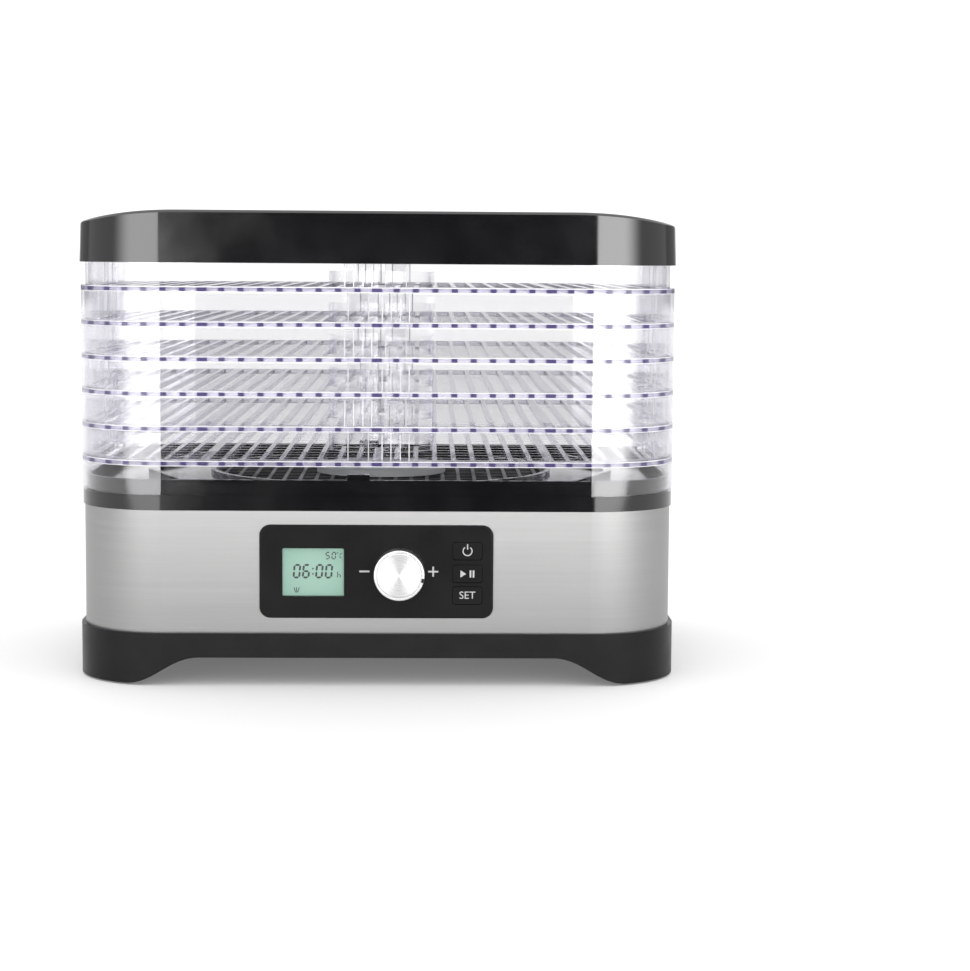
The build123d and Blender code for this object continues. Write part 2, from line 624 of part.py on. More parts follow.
# ------------------------------------------------------------------ power board
with BuildPart() as power_board:
    with BuildSketch(Plane.XY.offset(POWER_BOARD_Z)) as board_outline:
        with Locations((POWER_BOARD_X, 0)):
            Rectangle(POWER_BOARD_LENGTH, POWER_BOARD_DEPTH)
        with Locations(*BOARD_POSTS):
            Circle(SCREW_RADIUS + HOLE_GAP, mode=Mode.SUBTRACT)
    extrude(board_outline.sketch, amount=BOARD_THICKNESS)
save(power_board.part, "power_board")

BOARD_TOP = POWER_BOARD_Z + BOARD_THICKNESS
TRANSFORMER_Y = -22.0
CORE_SIZE = (32.0, 26.0, 20.0)
CORE_CORNER = 1.0
WINDING_SIZE = (20.0, 34.0, 16.0)
WINDING_CORNER = 4.0
RELAY_CENTRE = (POWER_BOARD_X + 10.0, 14.0)
RELAY_SIZE = (19.0, 15.5, 15.5)
RELAY_CORNER = 0.8
CAPACITOR_X = POWER_BOARD_X - 14.0
CAPACITOR_ROWS = ((10.0, 5.0, 16.0), (24.0, 4.0, 12.0))  # place along Y, radius, height


def board_block(size, corner, centre):
    """Rounded block of length, depth and height standing on the power board."""
    length, depth, height = size
    with BuildSketch(Plane.XY.offset(BOARD_TOP)) as outline:
        with Locations(centre):
            RectangleRounded(length, depth, corner)
    extrude(outline.sketch, amount=height)


with BuildPart() as transformer:
    board_block(CORE_SIZE, CORE_CORNER, (POWER_BOARD_X, TRANSFORMER_Y))
    board_block(WINDING_SIZE, WINDING_CORNER, (POWER_BOARD_X, TRANSFORMER_Y))
save(transformer.part, "transformer")

with BuildPart() as heater_relay:
    board_block(RELAY_SIZE, RELAY_CORNER, RELAY_CENTRE)
save(heater_relay.part, "heater_relay")

with BuildPart() as capacitors:
    for y_place, radius, height in CAPACITOR_ROWS:
        disc(radius, BOARD_TOP, BOARD_TOP + height, (CAPACITOR_X, y_place))
save(capacitors.part, "capacitors")

# ---------------------------------------------------------------- ribbon cable
RIBBON_WIDTH = 11.0
RIBBON_THICKNESS = 0.9
RIBBON_Z = 39.0  # height of the level run
RIBBON_HEAD_X = -44.0
RIBBON_HEAD_TOP = 58.0
RIBBON_TAIL_X = -122.0
RIBBON_BACK_Y = -84.0
RIBBON_TAIL_Y = -46.0
BOARD_BACK_Y = -CONTROL_BOARD_BACK


def strip(low, high):
    """Flat piece of ribbon between two opposite corners."""
    middle = tuple((a + b) / 2 for a, b in zip(low, high))
    with Locations(middle):
        Box(*[b - a for a, b in zip(low, high)])


with BuildPart() as ribbon_cable:
    run_top = RIBBON_Z + RIBBON_THICKNESS
    head_end = RIBBON_HEAD_X + RIBBON_WIDTH
    tail_end = RIBBON_TAIL_X + RIBBON_WIDTH
    strip(
        (RIBBON_HEAD_X, BOARD_BACK_Y, RIBBON_Z),
        (head_end, BOARD_BACK_Y + RIBBON_THICKNESS, RIBBON_HEAD_TOP),
    )
    strip((RIBBON_HEAD_X, BOARD_BACK_Y, RIBBON_Z), (head_end, RIBBON_BACK_Y, run_top))
    strip((RIBBON_TAIL_X, RIBBON_BACK_Y - RIBBON_WIDTH, RIBBON_Z), (head_end, RIBBON_BACK_Y, run_top))
    strip((RIBBON_TAIL_X, RIBBON_BACK_Y - RIBBON_WIDTH, RIBBON_Z), (tail_end, RIBBON_TAIL_Y, run_top))
    strip(
        (RIBBON_TAIL_X, RIBBON_TAIL_Y - RIBBON_THICKNESS, BOARD_TOP),
        (tail_end, RIBBON_TAIL_Y, run_top),
    )
save(ribbon_cable.part, "ribbon_cable")

# ------------------------------------------------------------- motor and bracket
MOTOR_BOTTOM = BRACKET_Z + BRACKET_SHEET
MOTOR_TOP = MOTOR_BOTTOM + MOTOR_HEIGHT
MOTOR_EDGE_FILLET = 3.0
MOTOR_BEARING_RADIUS = 7.0
MOTOR_BEARING_HEIGHT = 2.0
MOTOR_WELL_BOTTOM = MOTOR_BOTTOM + 4.0
MOTOR_SHAFT_BOTTOM = MOTOR_BOTTOM + 4.2
SHAFT_TOP = FAN_Z + 6.0
BRACKET_ARM_WIDTH = 18.0
BRACKET_RIM = 2.0  # plate left round the motor
FAN_HUB_BOTTOM = FAN_Z - 7.0
FAN_HUB_TOP = FAN_Z + 8.0
FAN_HUB_FLOOR = FAN_Z - 2.0
FAN_HUB_FILLET = 3.0
FAN_HUB_WALL = 2.0
FAN_BLADE_ROOT = 1.0  # blades start this far inside the hub's wall
FAN_BLADE_THICKNESS = 1.8
FAN_HALF_HEIGHT = 12.0
with BuildPart() as motor_bracket:
    with BuildSketch(Plane.XY.offset(BRACKET_Z)) as bracket_outline:
        Circle(MOTOR_RADIUS + BRACKET_RIM)
        for turn in (0, 90):
            with Locations(Location((0, 0, 0), (0, 0, turn))):
                SlotOverall(2 * BRACKET_REACH + BRACKET_ARM_WIDTH, BRACKET_ARM_WIDTH)
        with Locations(*MOTOR_POSTS):
            Circle(SCREW_RADIUS + HOLE_GAP, mode=Mode.SUBTRACT)
    extrude(bracket_outline.sketch, amount=BRACKET_SHEET)
save(motor_bracket.part, "motor_bracket")

with BuildPart() as fan_motor:
    disc(MOTOR_RADIUS, MOTOR_BOTTOM, MOTOR_TOP)
    fillet(fan_motor.edges().filter_by(GeomType.CIRCLE).sort_by(Axis.Z)[-1], MOTOR_EDGE_FILLET)
    bearing_top = MOTOR_TOP + MOTOR_BEARING_HEIGHT
    disc(MOTOR_BEARING_RADIUS, MOTOR_TOP, bearing_top)
    disc(MOTOR_SHAFT_RADIUS + RUNNING_GAP, MOTOR_WELL_BOTTOM, bearing_top, mode=Mode.SUBTRACT)
save(fan_motor.part, "fan_motor")

with BuildPart() as motor_shaft:
    disc(MOTOR_SHAFT_RADIUS, MOTOR_SHAFT_BOTTOM, SHAFT_TOP)
save(motor_shaft.part, "motor_shaft")

with BuildPart() as fan_impeller:
    disc(FAN_HUB_RADIUS, FAN_HUB_BOTTOM, FAN_HUB_TOP)
    fillet(fan_impeller.edges().filter_by(GeomType.CIRCLE).sort_by(Axis.Z)[-1], FAN_HUB_FILLET)
    disc(FAN_HUB_RADIUS - FAN_HUB_WALL, FAN_HUB_BOTTOM, FAN_HUB_FLOOR, mode=Mode.SUBTRACT)
    # the blades are trimmed to one round outline
    with Locations((0, 0, FAN_Z)):
        with PolarLocations(FAN_HUB_RADIUS - FAN_BLADE_ROOT, FAN_BLADES):
            Box(
                FAN_RADIUS,
                FAN_BLADE_CHORD,
                FAN_BLADE_THICKNESS,
                rotation=(FAN_BLADE_PITCH, 0, 0),
                align=(Align.MIN, Align.CENTER, Align.CENTER),
            )
    disc(FAN_RADIUS, FAN_Z - FAN_HALF_HEIGHT, FAN_Z + FAN_HALF_HEIGHT, mode=Mode.INTERSECT)
    disc(MOTOR_SHAFT_RADIUS + SNUG, FAN_Z - FAN_HALF_HEIGHT, SHAFT_TOP, mode=Mode.SUBTRACT)
save(fan_impeller.part, "fan_impeller")

# ---------------------------------------------------------- duct and the heater
DUCT_BOTTOM = 34.0
DUCT_TOP = GRILLE_LEDGE_Z - WALL
DUCT_FLANGE = 2.0
MICA_END_GAP = 0.2
with BuildPart() as duct_shroud:
    disc(DUCT_RADIUS + DUCT_WALL, DUCT_BOTTOM, DUCT_TOP)
    disc(OUTLET_RADIUS, DUCT_TOP - DUCT_FLANGE, DUCT_TOP)
    disc(DUCT_RADIUS, DUCT_BOTTOM, DUCT_TOP, mode=Mode.SUBTRACT)
save(duct_shroud.part, "duct_shroud")

with BuildPart() as heater_frame:
    with BuildSketch(Plane.XY.offset(HEATER_Z - MICA_HEIGHT / 2)) as cross:
        Rectangle(2 * (DUCT_RADIUS - MICA_END_GAP), MICA_THICKNESS)
        Rectangle(MICA_THICKNESS, 2 * (DUCT_RADIUS - MICA_END_GAP))
    extrude(cross.sketch, amount=MICA_HEIGHT)
    for plane in (Plane.XZ, Plane.YZ):
        with BuildSketch(plane) as eyes:
            with Locations((HEATER_LOOP_RADIUS, HEATER_Z), (-HEATER_LOOP_RADIUS, HEATER_Z)):
                Circle(HEATER_TUBE_RADIUS + LOOSE_GAP)
        extrude(eyes.sketch, amount=2 * MICA_THICKNESS, both=True, mode=Mode.SUBTRACT)
save(heater_frame.part, "heater_frame")

HEATER_GAP_DEG = 12.0  # half the opening in the loop, at +X
HEATER_TERMINAL_RADIUS = 4.2
HEATER_TERMINAL_BOTTOM = HEATER_Z - 10.5
HEATER_TERMINAL_TOP = HEATER_Z + 4.5
with BuildPart() as heater_coil:
    gap_angle = math.radians(HEATER_GAP_DEG)
    loop_start = HEATER_LOOP_RADIUS * Vector(math.cos(gap_angle), math.sin(gap_angle), 0)
    loop_start += Vector(0, 0, HEATER_Z)
    loop_heading = (-math.sin(gap_angle), math.cos(gap_angle), 0)
    with BuildSketch(Plane(origin=loop_start, x_dir=(0, 0, 1), z_dir=loop_heading)):
        Circle(HEATER_TUBE_RADIUS)
    revolve(axis=Axis.Z, revolution_arc=360 - 2 * HEATER_GAP_DEG)
    for end in (-1, 1):
        terminal = (loop_start.X, end * loop_start.Y)
        disc(HEATER_TERMINAL_RADIUS, HEATER_TERMINAL_BOTTOM, HEATER_TERMINAL_TOP, terminal)
save(heater_coil.part, "heater_coil")

CUTOUT_X = 34.0
CUTOUT_RADIUS = 6.5
CUTOUT_DEPTH = 8.0
FUSE_X = -42.0
FUSE_LENGTH = 14.0
FUSE_RADIUS = 2.0
SENSOR_Y = 36.0
SENSOR_RADIUS = 2.2
SENSOR_HALF_HEIGHT = 5.0
with BuildPart() as thermal_cutout:
    with BuildSketch(Plane.XZ.offset(-MICA_THICKNESS / 2)) as cutout_disc:
        with Locations((CUTOUT_X, HEATER_Z)):
            Circle(CUTOUT_RADIUS)
    extrude(cutout_disc.sketch, amount=-CUTOUT_DEPTH)
save(thermal_cutout.part, "thermal_cutout")

with BuildPart() as thermal_fuse:
    with BuildSketch(Plane.YZ.offset(FUSE_X)) as fuse_section:
        with Locations((MICA_THICKNESS / 2 + FUSE_RADIUS, HEATER_Z)):
            Circle(FUSE_RADIUS)
    extrude(fuse_section.sketch, amount=FUSE_LENGTH)
save(thermal_fuse.part, "thermal_fuse")

with BuildPart() as temperature_sensor:
    disc(
        SENSOR_RADIUS,
        HEATER_Z - SENSOR_HALF_HEIGHT,
        HEATER_Z + SENSOR_HALF_HEIGHT,
        (MICA_THICKNESS / 2 + SENSOR_RADIUS, SENSOR_Y),
    )
save(temperature_sensor.part, "temperature_sensor")

# ------------------------------------------------------------------- cord gland
STEEL_BACK = -STEEL_FRONT
GLAND_NUT_RADIUS = 9.0
GLAND_NUT_DEPTH = 6.0
GLAND_SLEEVE_RADIUS = 8.0
GLAND_SLEEVE_FILLET = 2.0
GLAND_INNER_END = STEEL_BACK + 6.0
GLAND_OUTER_END = -KNOB_FRONT
with BuildPart() as cord_gland:
    with BuildSketch(Plane.XZ.offset(STEEL_BACK)) as nut:
        with Locations(GLAND_CENTRE):
            RegularPolygon(GLAND_NUT_RADIUS, 6)
    extrude(nut.sketch, amount=-GLAND_NUT_DEPTH)
    front_disc(GLAND_SLEEVE_RADIUS, STEEL_BACK - GLAND_NUT_DEPTH, GLAND_OUTER_END, GLAND_CENTRE)
    fillet(cord_gland.edges().filter_by(GeomType.CIRCLE).sort_by(Axis.Y)[-1], GLAND_SLEEVE_FILLET)
    front_disc(GLAND_THREAD_RADIUS, GLAND_INNER_END, STEEL_BACK, GLAND_CENTRE)
    front_disc(GLAND_NUT_RADIUS, GLAND_INNER_END, STEEL_BACK + STEEL_SHEET, GLAND_CENTRE)
    front_disc(GLAND_BORE_RADIUS, GLAND_INNER_END, GLAND_OUTER_END, GLAND_CENTRE, mode=Mode.SUBTRACT)
save(cord_gland.part, "cord_gland")

# --------------------------------------------------------------------- fasteners
CASE_HEAD_TOP = ARCH_HEIGHT + COUNTERBORE_DEPTH
CASE_HEAD_BOTTOM = CASE_HEAD_TOP - SCREW_HEAD_HEIGHT
CASE_SCREW_TOP = DECK_BOSS_FOOT + 14.0
DRIVE_RADIUS = 1.0
DRIVE_DEPTH = 1.2
POST_SCREW_BOTTOM = BASE_FLOOR_TOP + 1.0
PANEL_SCREW_FRONT = CONTROL_BOARD_FRONT + 5.0
with BuildPart() as case_screws:
    for centre in corners(CASE_SCREW_X, CASE_SCREW_Y):
        disc(SCREW_HEAD_RADIUS, CASE_HEAD_BOTTOM, CASE_HEAD_TOP, centre)
        disc(SCREW_RADIUS, CASE_HEAD_TOP, CASE_SCREW_TOP, centre)
        disc(DRIVE_RADIUS, CASE_HEAD_BOTTOM, CASE_HEAD_BOTTOM + DRIVE_DEPTH, centre, mode=Mode.SUBTRACT)
save(case_screws.part, "case_screws")

with BuildPart() as motor_screws:
    for centre in MOTOR_POSTS:
        disc(SCREW_HEAD_RADIUS, MOTOR_BOTTOM, MOTOR_BOTTOM + SCREW_HEAD_HEIGHT, centre)
        disc(SCREW_RADIUS, POST_SCREW_BOTTOM, MOTOR_BOTTOM, centre)
save(motor_screws.part, "motor_screws")

with BuildPart() as board_screws:
    for centre in BOARD_POSTS:
        disc(BOARD_SCREW_HEAD_RADIUS, BOARD_TOP, BOARD_TOP + BOARD_SCREW_HEAD_HEIGHT, centre)
        disc(SCREW_RADIUS, POST_SCREW_BOTTOM, BOARD_TOP, centre)
    for hole in BOARD_HOLES:
        head_back = CONTROL_BOARD_BACK - BOARD_SCREW_HEAD_HEIGHT
        front_disc(BOARD_SCREW_HEAD_RADIUS, CONTROL_BOARD_BACK, head_back, hole)
        front_disc(SCREW_RADIUS, PANEL_SCREW_FRONT, CONTROL_BOARD_BACK, hole)
save(board_screws.part, "board_screws")


# ------------------------------------------------------------------------ trays
SIDES = ("front", "back", "left", "right")
COLUMN_MARGIN = 1.0  # plain shelf left round the columns


def tray_columns():
    """The posts and pockets of one tray, on all four sides of its collar."""
    for side in SIDES:
        grow_column(POST_WIDTH, POST_DEPTH, POST_HEIGHT, SHELF_Z, -COLUMN_OFFSET, side, POST_STAND_OFF)
        grow_column(POCKET_WIDTH, POCKET_DEPTH, TRAY_COLLAR_HEIGHT, SHELF_Z, COLUMN_OFFSET, side)
    for side in SIDES:
        grow_column(
            POST_WIDTH - 2 * POST_WALL,
            POST_DEPTH - 2 * POST_WALL,
            POST_HEIGHT - POST_WALL + SHELF_THICKNESS,
            SHELF_Z - SHELF_THICKNESS,
            -COLUMN_OFFSET,
            side,
            POST_STAND_OFF + POST_WALL,
            mode=Mode.SUBTRACT,
        )
        grow_column(
            POCKET_WIDTH - 2 * POCKET_WALL,
            POCKET_DEPTH - 2 * POCKET_WALL,
            TRAY_COLLAR_HEIGHT - POCKET_WALL + SHELF_THICKNESS,
            SHELF_Z - SHELF_THICKNESS,
            COLUMN_OFFSET,
            side,
            POCKET_WALL,
            mode=Mode.SUBTRACT,
        )


def shelf_openings():
    """Sketch of the grid's holes, between the ribs and rungs and clear of hub and columns."""
    grid_x = COLLAR_INNER_X - SHELF_BORDER
    grid_y = COLLAR_INNER_Y - SHELF_BORDER
    with BuildSketch(Plane.XY.offset(SHELF_Z - SHELF_THICKNESS)) as grid:
        RectangleRounded(2 * grid_x, 2 * grid_y, CORNER_RADIUS - COLLAR_INNER_INSET - SHELF_BORDER)
        for rib in range(-int(grid_x / RIB_PITCH), int(grid_x / RIB_PITCH) + 1):
            width = WIDE_RIB_WIDTH if rib % WIDE_RIB_EVERY == 0 else RIB_WIDTH
            with Locations((rib * RIB_PITCH, 0)):
                Rectangle(width, 2 * grid_y, mode=Mode.SUBTRACT)
        for rung in range(-int(grid_y / RUNG_PITCH), int(grid_y / RUNG_PITCH) + 1):
            with Locations((0, rung * RUNG_PITCH)):
                Rectangle(2 * grid_x, RUNG_WIDTH, mode=Mode.SUBTRACT)
        Circle(HUB_RADIUS + HUB_WALL, mode=Mode.SUBTRACT)
        column_zone = 2 * (COLUMN_OFFSET + POCKET_WIDTH / 2 + COLUMN_MARGIN)
        column_depth = 2 * (POCKET_DEPTH + COLUMN_MARGIN - SHELF_BORDER)
        with Locations((0, grid_y), (0, -grid_y)):
            Rectangle(column_zone, column_depth, mode=Mode.SUBTRACT)
        with Locations((grid_x, 0), (-grid_x, 0)):
            Rectangle(column_depth, column_zone, mode=Mode.SUBTRACT)
    return grid.sketch


with BuildPart() as tray_pattern:
    plan_slab(0, SHELF_Z)
    plan_slab(0, SHELF_Z - SHELF_THICKNESS, inset=SKIRT_WALL, mode=Mode.SUBTRACT)
    plan_slab(SHELF_Z, SHELF_Z + TRAY_COLLAR_HEIGHT, inset=COLLAR_INSET)
    plan_slab(SHELF_Z, SHELF_Z + TRAY_COLLAR_HEIGHT, inset=COLLAR_INNER_INSET, mode=Mode.SUBTRACT)
    disc(HUB_RADIUS, SHELF_Z, SHELF_Z + HUB_HEIGHT)
    disc(HUB_RADIUS - HUB_WALL, SHELF_Z - SHELF_THICKNESS, SHELF_Z + HUB_HEIGHT, mode=Mode.SUBTRACT)
    tray_columns()
    extrude(shelf_openings(), amount=SHELF_THICKNESS, mode=Mode.SUBTRACT)

for tray_number in range(1, TRAY_COUNT + 1):
    half_turn = 180 * ((tray_number + 1) % 2)
    tray_z = FIRST_TRAY_Z + (tray_number - 1) * TRAY_PITCH
    with BuildPart() as tray:
        add(tray_pattern.part.moved(Location((0, 0, tray_z), (0, 0, half_turn))))
    save(tray.part, f"tray_{tray_number}")

# -------------------------------------------------------------------------- lid
LID_TOP = LID_BOTTOM + LID_CROWN_HEIGHT
LID_FLAT_HALF = 110.0  # the top is flat this far out, then falls in an arc
LID_HALF = (TRAY_LENGTH + LID_GROWTH) / 2
LID_FALL = LID_CROWN_HEIGHT - LID_EDGE_HEIGHT
LID_DRAFT = 2.0  # degrees
LID_EDGE_FILLET = 1.6
LID_VENT_LENGTH = 26.0
LID_VENT_WIDTH = 3.0
LID_VENT_COLUMNS = 5
LID_VENT_COLUMN_PITCH = 34.0
LID_VENT_ROWS = 7
LID_VENT_ROW_PITCH = 9.0
LEDGE_OUTER_INSET = 1.0
LEDGE_INNER_INSET = COLLAR_INNER_INSET - 0.7


def crown_region(drop=0.0):
    """Region below the lid's top line, seen from the front, lowered by drop."""
    middle = (LID_FLAT_HALF + LID_HALF) / 2
    fall_at_middle = LID_FALL * ((middle - LID_FLAT_HALF) / (LID_HALF - LID_FLAT_HALF)) ** 2
    top = LID_TOP - drop
    with BuildLine() as edge_line:
        Line((-LID_FLAT_HALF, top), (LID_FLAT_HALF, top))
        ThreePointArc((LID_FLAT_HALF, top), (middle, top - fall_at_middle), (LID_HALF, top - LID_FALL))
        Line((LID_HALF, top - LID_FALL), (LID_HALF, LID_BOTTOM))
        Line((LID_HALF, LID_BOTTOM), (-LID_HALF, LID_BOTTOM))
        Line((-LID_HALF, LID_BOTTOM), (-LID_HALF, top - LID_FALL))
        ThreePointArc((-LID_HALF, top - LID_FALL), (-middle, top - fall_at_middle), (-LID_FLAT_HALF, top))
    make_face(edge_line.edges())


def lid_plan(low, high, inset=0.0):
    """Slab with the lid's plan, drawn in by inset and drafted inwards towards the top."""
    with BuildSketch(Plane.XY.offset(low)) as outline:
        RectangleRounded(
            TRAY_LENGTH + LID_GROWTH - 2 * inset,
            TRAY_DEPTH + LID_GROWTH - 2 * inset,
            CORNER_RADIUS + LID_GROWTH / 2 - inset,
        )
    return extrude(outline.sketch, amount=high - low, taper=LID_DRAFT, mode=Mode.PRIVATE)


with BuildPart() as lid_hollow:
    add(lid_plan(LID_BOTTOM, LID_TOP, WALL))
    with BuildSketch(Plane.XZ) as hollow_line:
        crown_region(WALL)
    extrude(hollow_line.sketch, amount=TRAY_DEPTH, both=True, mode=Mode.INTERSECT)

with BuildPart() as lid:
    add(lid_plan(LID_BOTTOM, LID_TOP))
    with BuildSketch(Plane.XZ) as top_line:
        crown_region()
    extrude(top_line.sketch, amount=TRAY_DEPTH, both=True, mode=Mode.INTERSECT)
    top_edges = lid.edges().filter_by(lambda edge: edge.center().Z > LID_TOP - LID_FALL - CUT_MARGIN)
    fillet(top_edges, LID_EDGE_FILLET)
    add(lid_hollow.part, mode=Mode.SUBTRACT)
    # ledge that rests on the top tray's collar
    ledge_z = TOP_SHELF_Z + TRAY_COLLAR_HEIGHT + STACK_GAP
    plan_slab(ledge_z, ledge_z + WALL, inset=LEDGE_OUTER_INSET)
    plan_slab(ledge_z, ledge_z + WALL, inset=LEDGE_INNER_INSET, mode=Mode.SUBTRACT)
    with BuildSketch(Plane.XY.offset(LID_TOP - 2 * WALL)) as vents:
        with GridLocations(LID_VENT_COLUMN_PITCH, LID_VENT_ROW_PITCH, LID_VENT_COLUMNS, LID_VENT_ROWS):
            SlotOverall(LID_VENT_LENGTH, LID_VENT_WIDTH)
    extrude(vents.sketch, amount=3 * WALL, mode=Mode.SUBTRACT)
save(lid.part, "lid")
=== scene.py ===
"""Looks of the food dehydrator: camera, studio, materials and small visible details.

Metres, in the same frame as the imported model: +Z up, the front faces -Y.
"""

import math

import bmesh
import bpy
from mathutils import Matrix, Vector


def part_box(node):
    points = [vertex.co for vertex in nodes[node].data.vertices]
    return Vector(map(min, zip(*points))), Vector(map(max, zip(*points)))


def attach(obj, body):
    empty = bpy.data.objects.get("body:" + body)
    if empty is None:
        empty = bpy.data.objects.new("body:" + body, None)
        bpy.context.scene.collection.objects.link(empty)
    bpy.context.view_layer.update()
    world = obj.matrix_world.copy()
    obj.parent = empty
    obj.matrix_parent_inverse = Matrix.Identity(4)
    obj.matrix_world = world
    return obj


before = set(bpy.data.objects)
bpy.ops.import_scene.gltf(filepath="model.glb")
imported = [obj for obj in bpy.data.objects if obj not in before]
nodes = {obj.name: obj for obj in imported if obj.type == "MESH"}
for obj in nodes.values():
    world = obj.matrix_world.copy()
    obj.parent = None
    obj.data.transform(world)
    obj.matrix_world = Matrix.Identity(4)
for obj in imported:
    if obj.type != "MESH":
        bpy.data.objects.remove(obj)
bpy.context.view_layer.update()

MM = 0.001
scene = bpy.context.scene


# ------------------------------------------------------------------------ camera
CAMERA_HEIGHT = 0.240
CAMERA_RIGHT = 0.028  # to the right of the object's middle
CAMERA_DISTANCE = 1.369  # in front of the object's middle
CAMERA_TURN = 1.44  # degrees to the right
CAMERA_TILT = 5.82  # degrees down
CAMERA_ROLL = 0.4  # degrees anticlockwise
CAMERA_LENS = 83.5
SENSOR_WIDTH = 36.0
FARTHEST_SEEN = 50.0


def add_camera():
    """Long lens, nearly level with the lid, turned a little past the object."""
    data = bpy.data.cameras.new("camera")
    data.lens = CAMERA_LENS
    data.sensor_width = SENSOR_WIDTH
    data.clip_end = FARTHEST_SEEN
    camera = bpy.data.objects.new("camera", data)
    camera.location = (CAMERA_RIGHT, -CAMERA_DISTANCE, CAMERA_HEIGHT)
    camera.rotation_euler = (
        math.radians(90 - CAMERA_TILT),
        math.radians(-CAMERA_ROLL),
        math.radians(-CAMERA_TURN),
    )
    scene.collection.objects.link(camera)
    scene.camera = camera


add_camera()


# ---------------------------------------------------------------- node shorthand
WALL_TOLERANCE = 0.03  # steepest extra slope that still counts as the wall
LEAST_RISE = 1e-6  # keeps the wall's normal defined over the middle of the plan
NOISE_LOW, NOISE_HIGH = 0.3, 0.7  # most of a noise lies between these


class Graph:
    """Short calls for building one node tree."""

    def __init__(self, tree):
        self.tree = tree
        self.tree.nodes.clear()

    def node(self, kind, **settings):
        made = self.tree.nodes.new(kind)
        for key, value in settings.items():
            setattr(made, key, value)
        return made

    def link(self, source, target):
        self.tree.links.new(source, target)

    def math(self, operation, a, b=None, c=None):
        made = self.node("ShaderNodeMath", operation=operation)
        for socket, value in zip(made.inputs, (a, b, c)):
            self.feed(socket, value)
        return made.outputs[0]

    def feed(self, socket, value):
        """Link a socket to another, or give it a plain value."""
        if value is None:
            return
        if isinstance(value, bpy.types.NodeSocket):
            self.link(value, socket)
        else:
            socket.default_value = value

    def length(self, a, b):
        """Length of the slope of a right-angled triangle with sides a and b."""
        squares = [self.math("MULTIPLY", value, value) for value in (a, b)]
        return self.math("SQRT", self.math("ADD", *squares))

    def spread(self, value, low, high, to_low=0.0, to_high=1.0):
        """Value remapped smoothly from one range to another, clamped."""
        made = self.node("ShaderNodeMapRange", interpolation_type="SMOOTHSTEP")
        for name, number in (("Value", value), ("From Min", low), ("From Max", high)):
            self.feed(made.inputs[name], number)
        self.feed(made.inputs["To Min"], to_low)
        self.feed(made.inputs["To Max"], to_high)
        return made.outputs["Result"]

    def vary(self, noise, low, high):
        """Value that wanders between low and high as a noise does."""
        return self.spread(noise, NOISE_LOW, NOISE_HIGH, low, high)

    def place(self, scale=(1, 1, 1)):
        """Object coordinates, stretched."""
        coordinates = self.node("ShaderNodeTexCoord")
        mapping = self.node("ShaderNodeMapping")
        mapping.inputs["Scale"].default_value = scale
        self.link(coordinates.outputs["Object"], mapping.inputs["Vector"])
        return mapping.outputs["Vector"]

    def position(self):
        """X, Y and Z of the point shaded, in the object's own frame."""
        coordinates = self.node("ShaderNodeTexCoord")
        separate = self.node("ShaderNodeSeparateXYZ")
        self.link(coordinates.outputs["Object"], separate.inputs[0])
        return [separate.outputs[axis] for axis in "XYZ"]

    def to_world(self, x, y, z, kind):
        """Direction given in the object's own frame, unit length, in the world's."""
        joined = self.node("ShaderNodeCombineXYZ")
        for socket, value in zip(joined.inputs, (x, y, z)):
            self.feed(socket, value)
        turned = self.node("ShaderNodeVectorTransform", vector_type=kind)
        turned.convert_from = "OBJECT"
        turned.convert_to = "WORLD"
        self.link(joined.outputs[0], turned.inputs[0])
        unit = self.node("ShaderNodeVectorMath", operation="NORMALIZE")
        self.link(turned.outputs[0], unit.inputs[0])
        return unit.outputs[0]

    def plan_normal(self, half_x, half_y, corner, lean):
        """Exact normal of a wall whose plan is a rounded rectangle, leaning in by a slope.

        Faces that are not part of the wall keep their own normal.
        """
        x, y, _ = self.position()
        past = []
        for value, half in ((x, half_x - corner), (y, half_y - corner)):
            kept = self.math("MINIMUM", self.math("MAXIMUM", value, -half), half)
            past.append(self.math("SUBTRACT", value, kept))
        length = self.length(*past)
        rise = self.math("ADD", self.math("MULTIPLY", length, lean), LEAST_RISE)
        exact = self.to_world(past[0], past[1], rise, "NORMAL")
        geometry = self.node("ShaderNodeNewGeometry")
        own = self.node("ShaderNodeSeparateXYZ")
        self.link(geometry.outputs["Normal"], own.inputs[0])
        flat = self.math("GREATER_THAN", self.math("ABSOLUTE", own.outputs["Z"]), lean + WALL_TOLERANCE)
        mixed = self.node("ShaderNodeMix", data_type="VECTOR")
        self.feed(mixed.inputs[0], flat)
        self.link(exact, mixed.inputs[4])
        self.link(geometry.outputs["Normal"], mixed.inputs[5])
        return mixed.outputs[1]

    def noise(self, where, scale, detail=2.0, roughness=0.5):
        made = self.node("ShaderNodeTexNoise")
        self.feed(made.inputs["Vector"], where)
        made.inputs["Scale"].default_value = scale
        made.inputs["Detail"].default_value = detail
        made.inputs["Roughness"].default_value = roughness
        return made.outputs["Fac"]

    def tint(self, factor, low, high):
        """Colour between two colours by a factor."""
        made = self.node("ShaderNodeMix", data_type="RGBA")
        self.feed(made.inputs[0], factor)
        made.inputs[6].default_value = (*low, 1)
        made.inputs[7].default_value = (*high, 1)
        return made.outputs[2]

    def bump(self, height, strength, distance, before=None):
        made = self.node("ShaderNodeBump")
        made.inputs["Strength"].default_value = strength
        made.inputs["Distance"].default_value = distance
        self.feed(made.inputs["Height"], height)
        self.feed(made.inputs["Normal"], before)
        return made.outputs["Normal"]


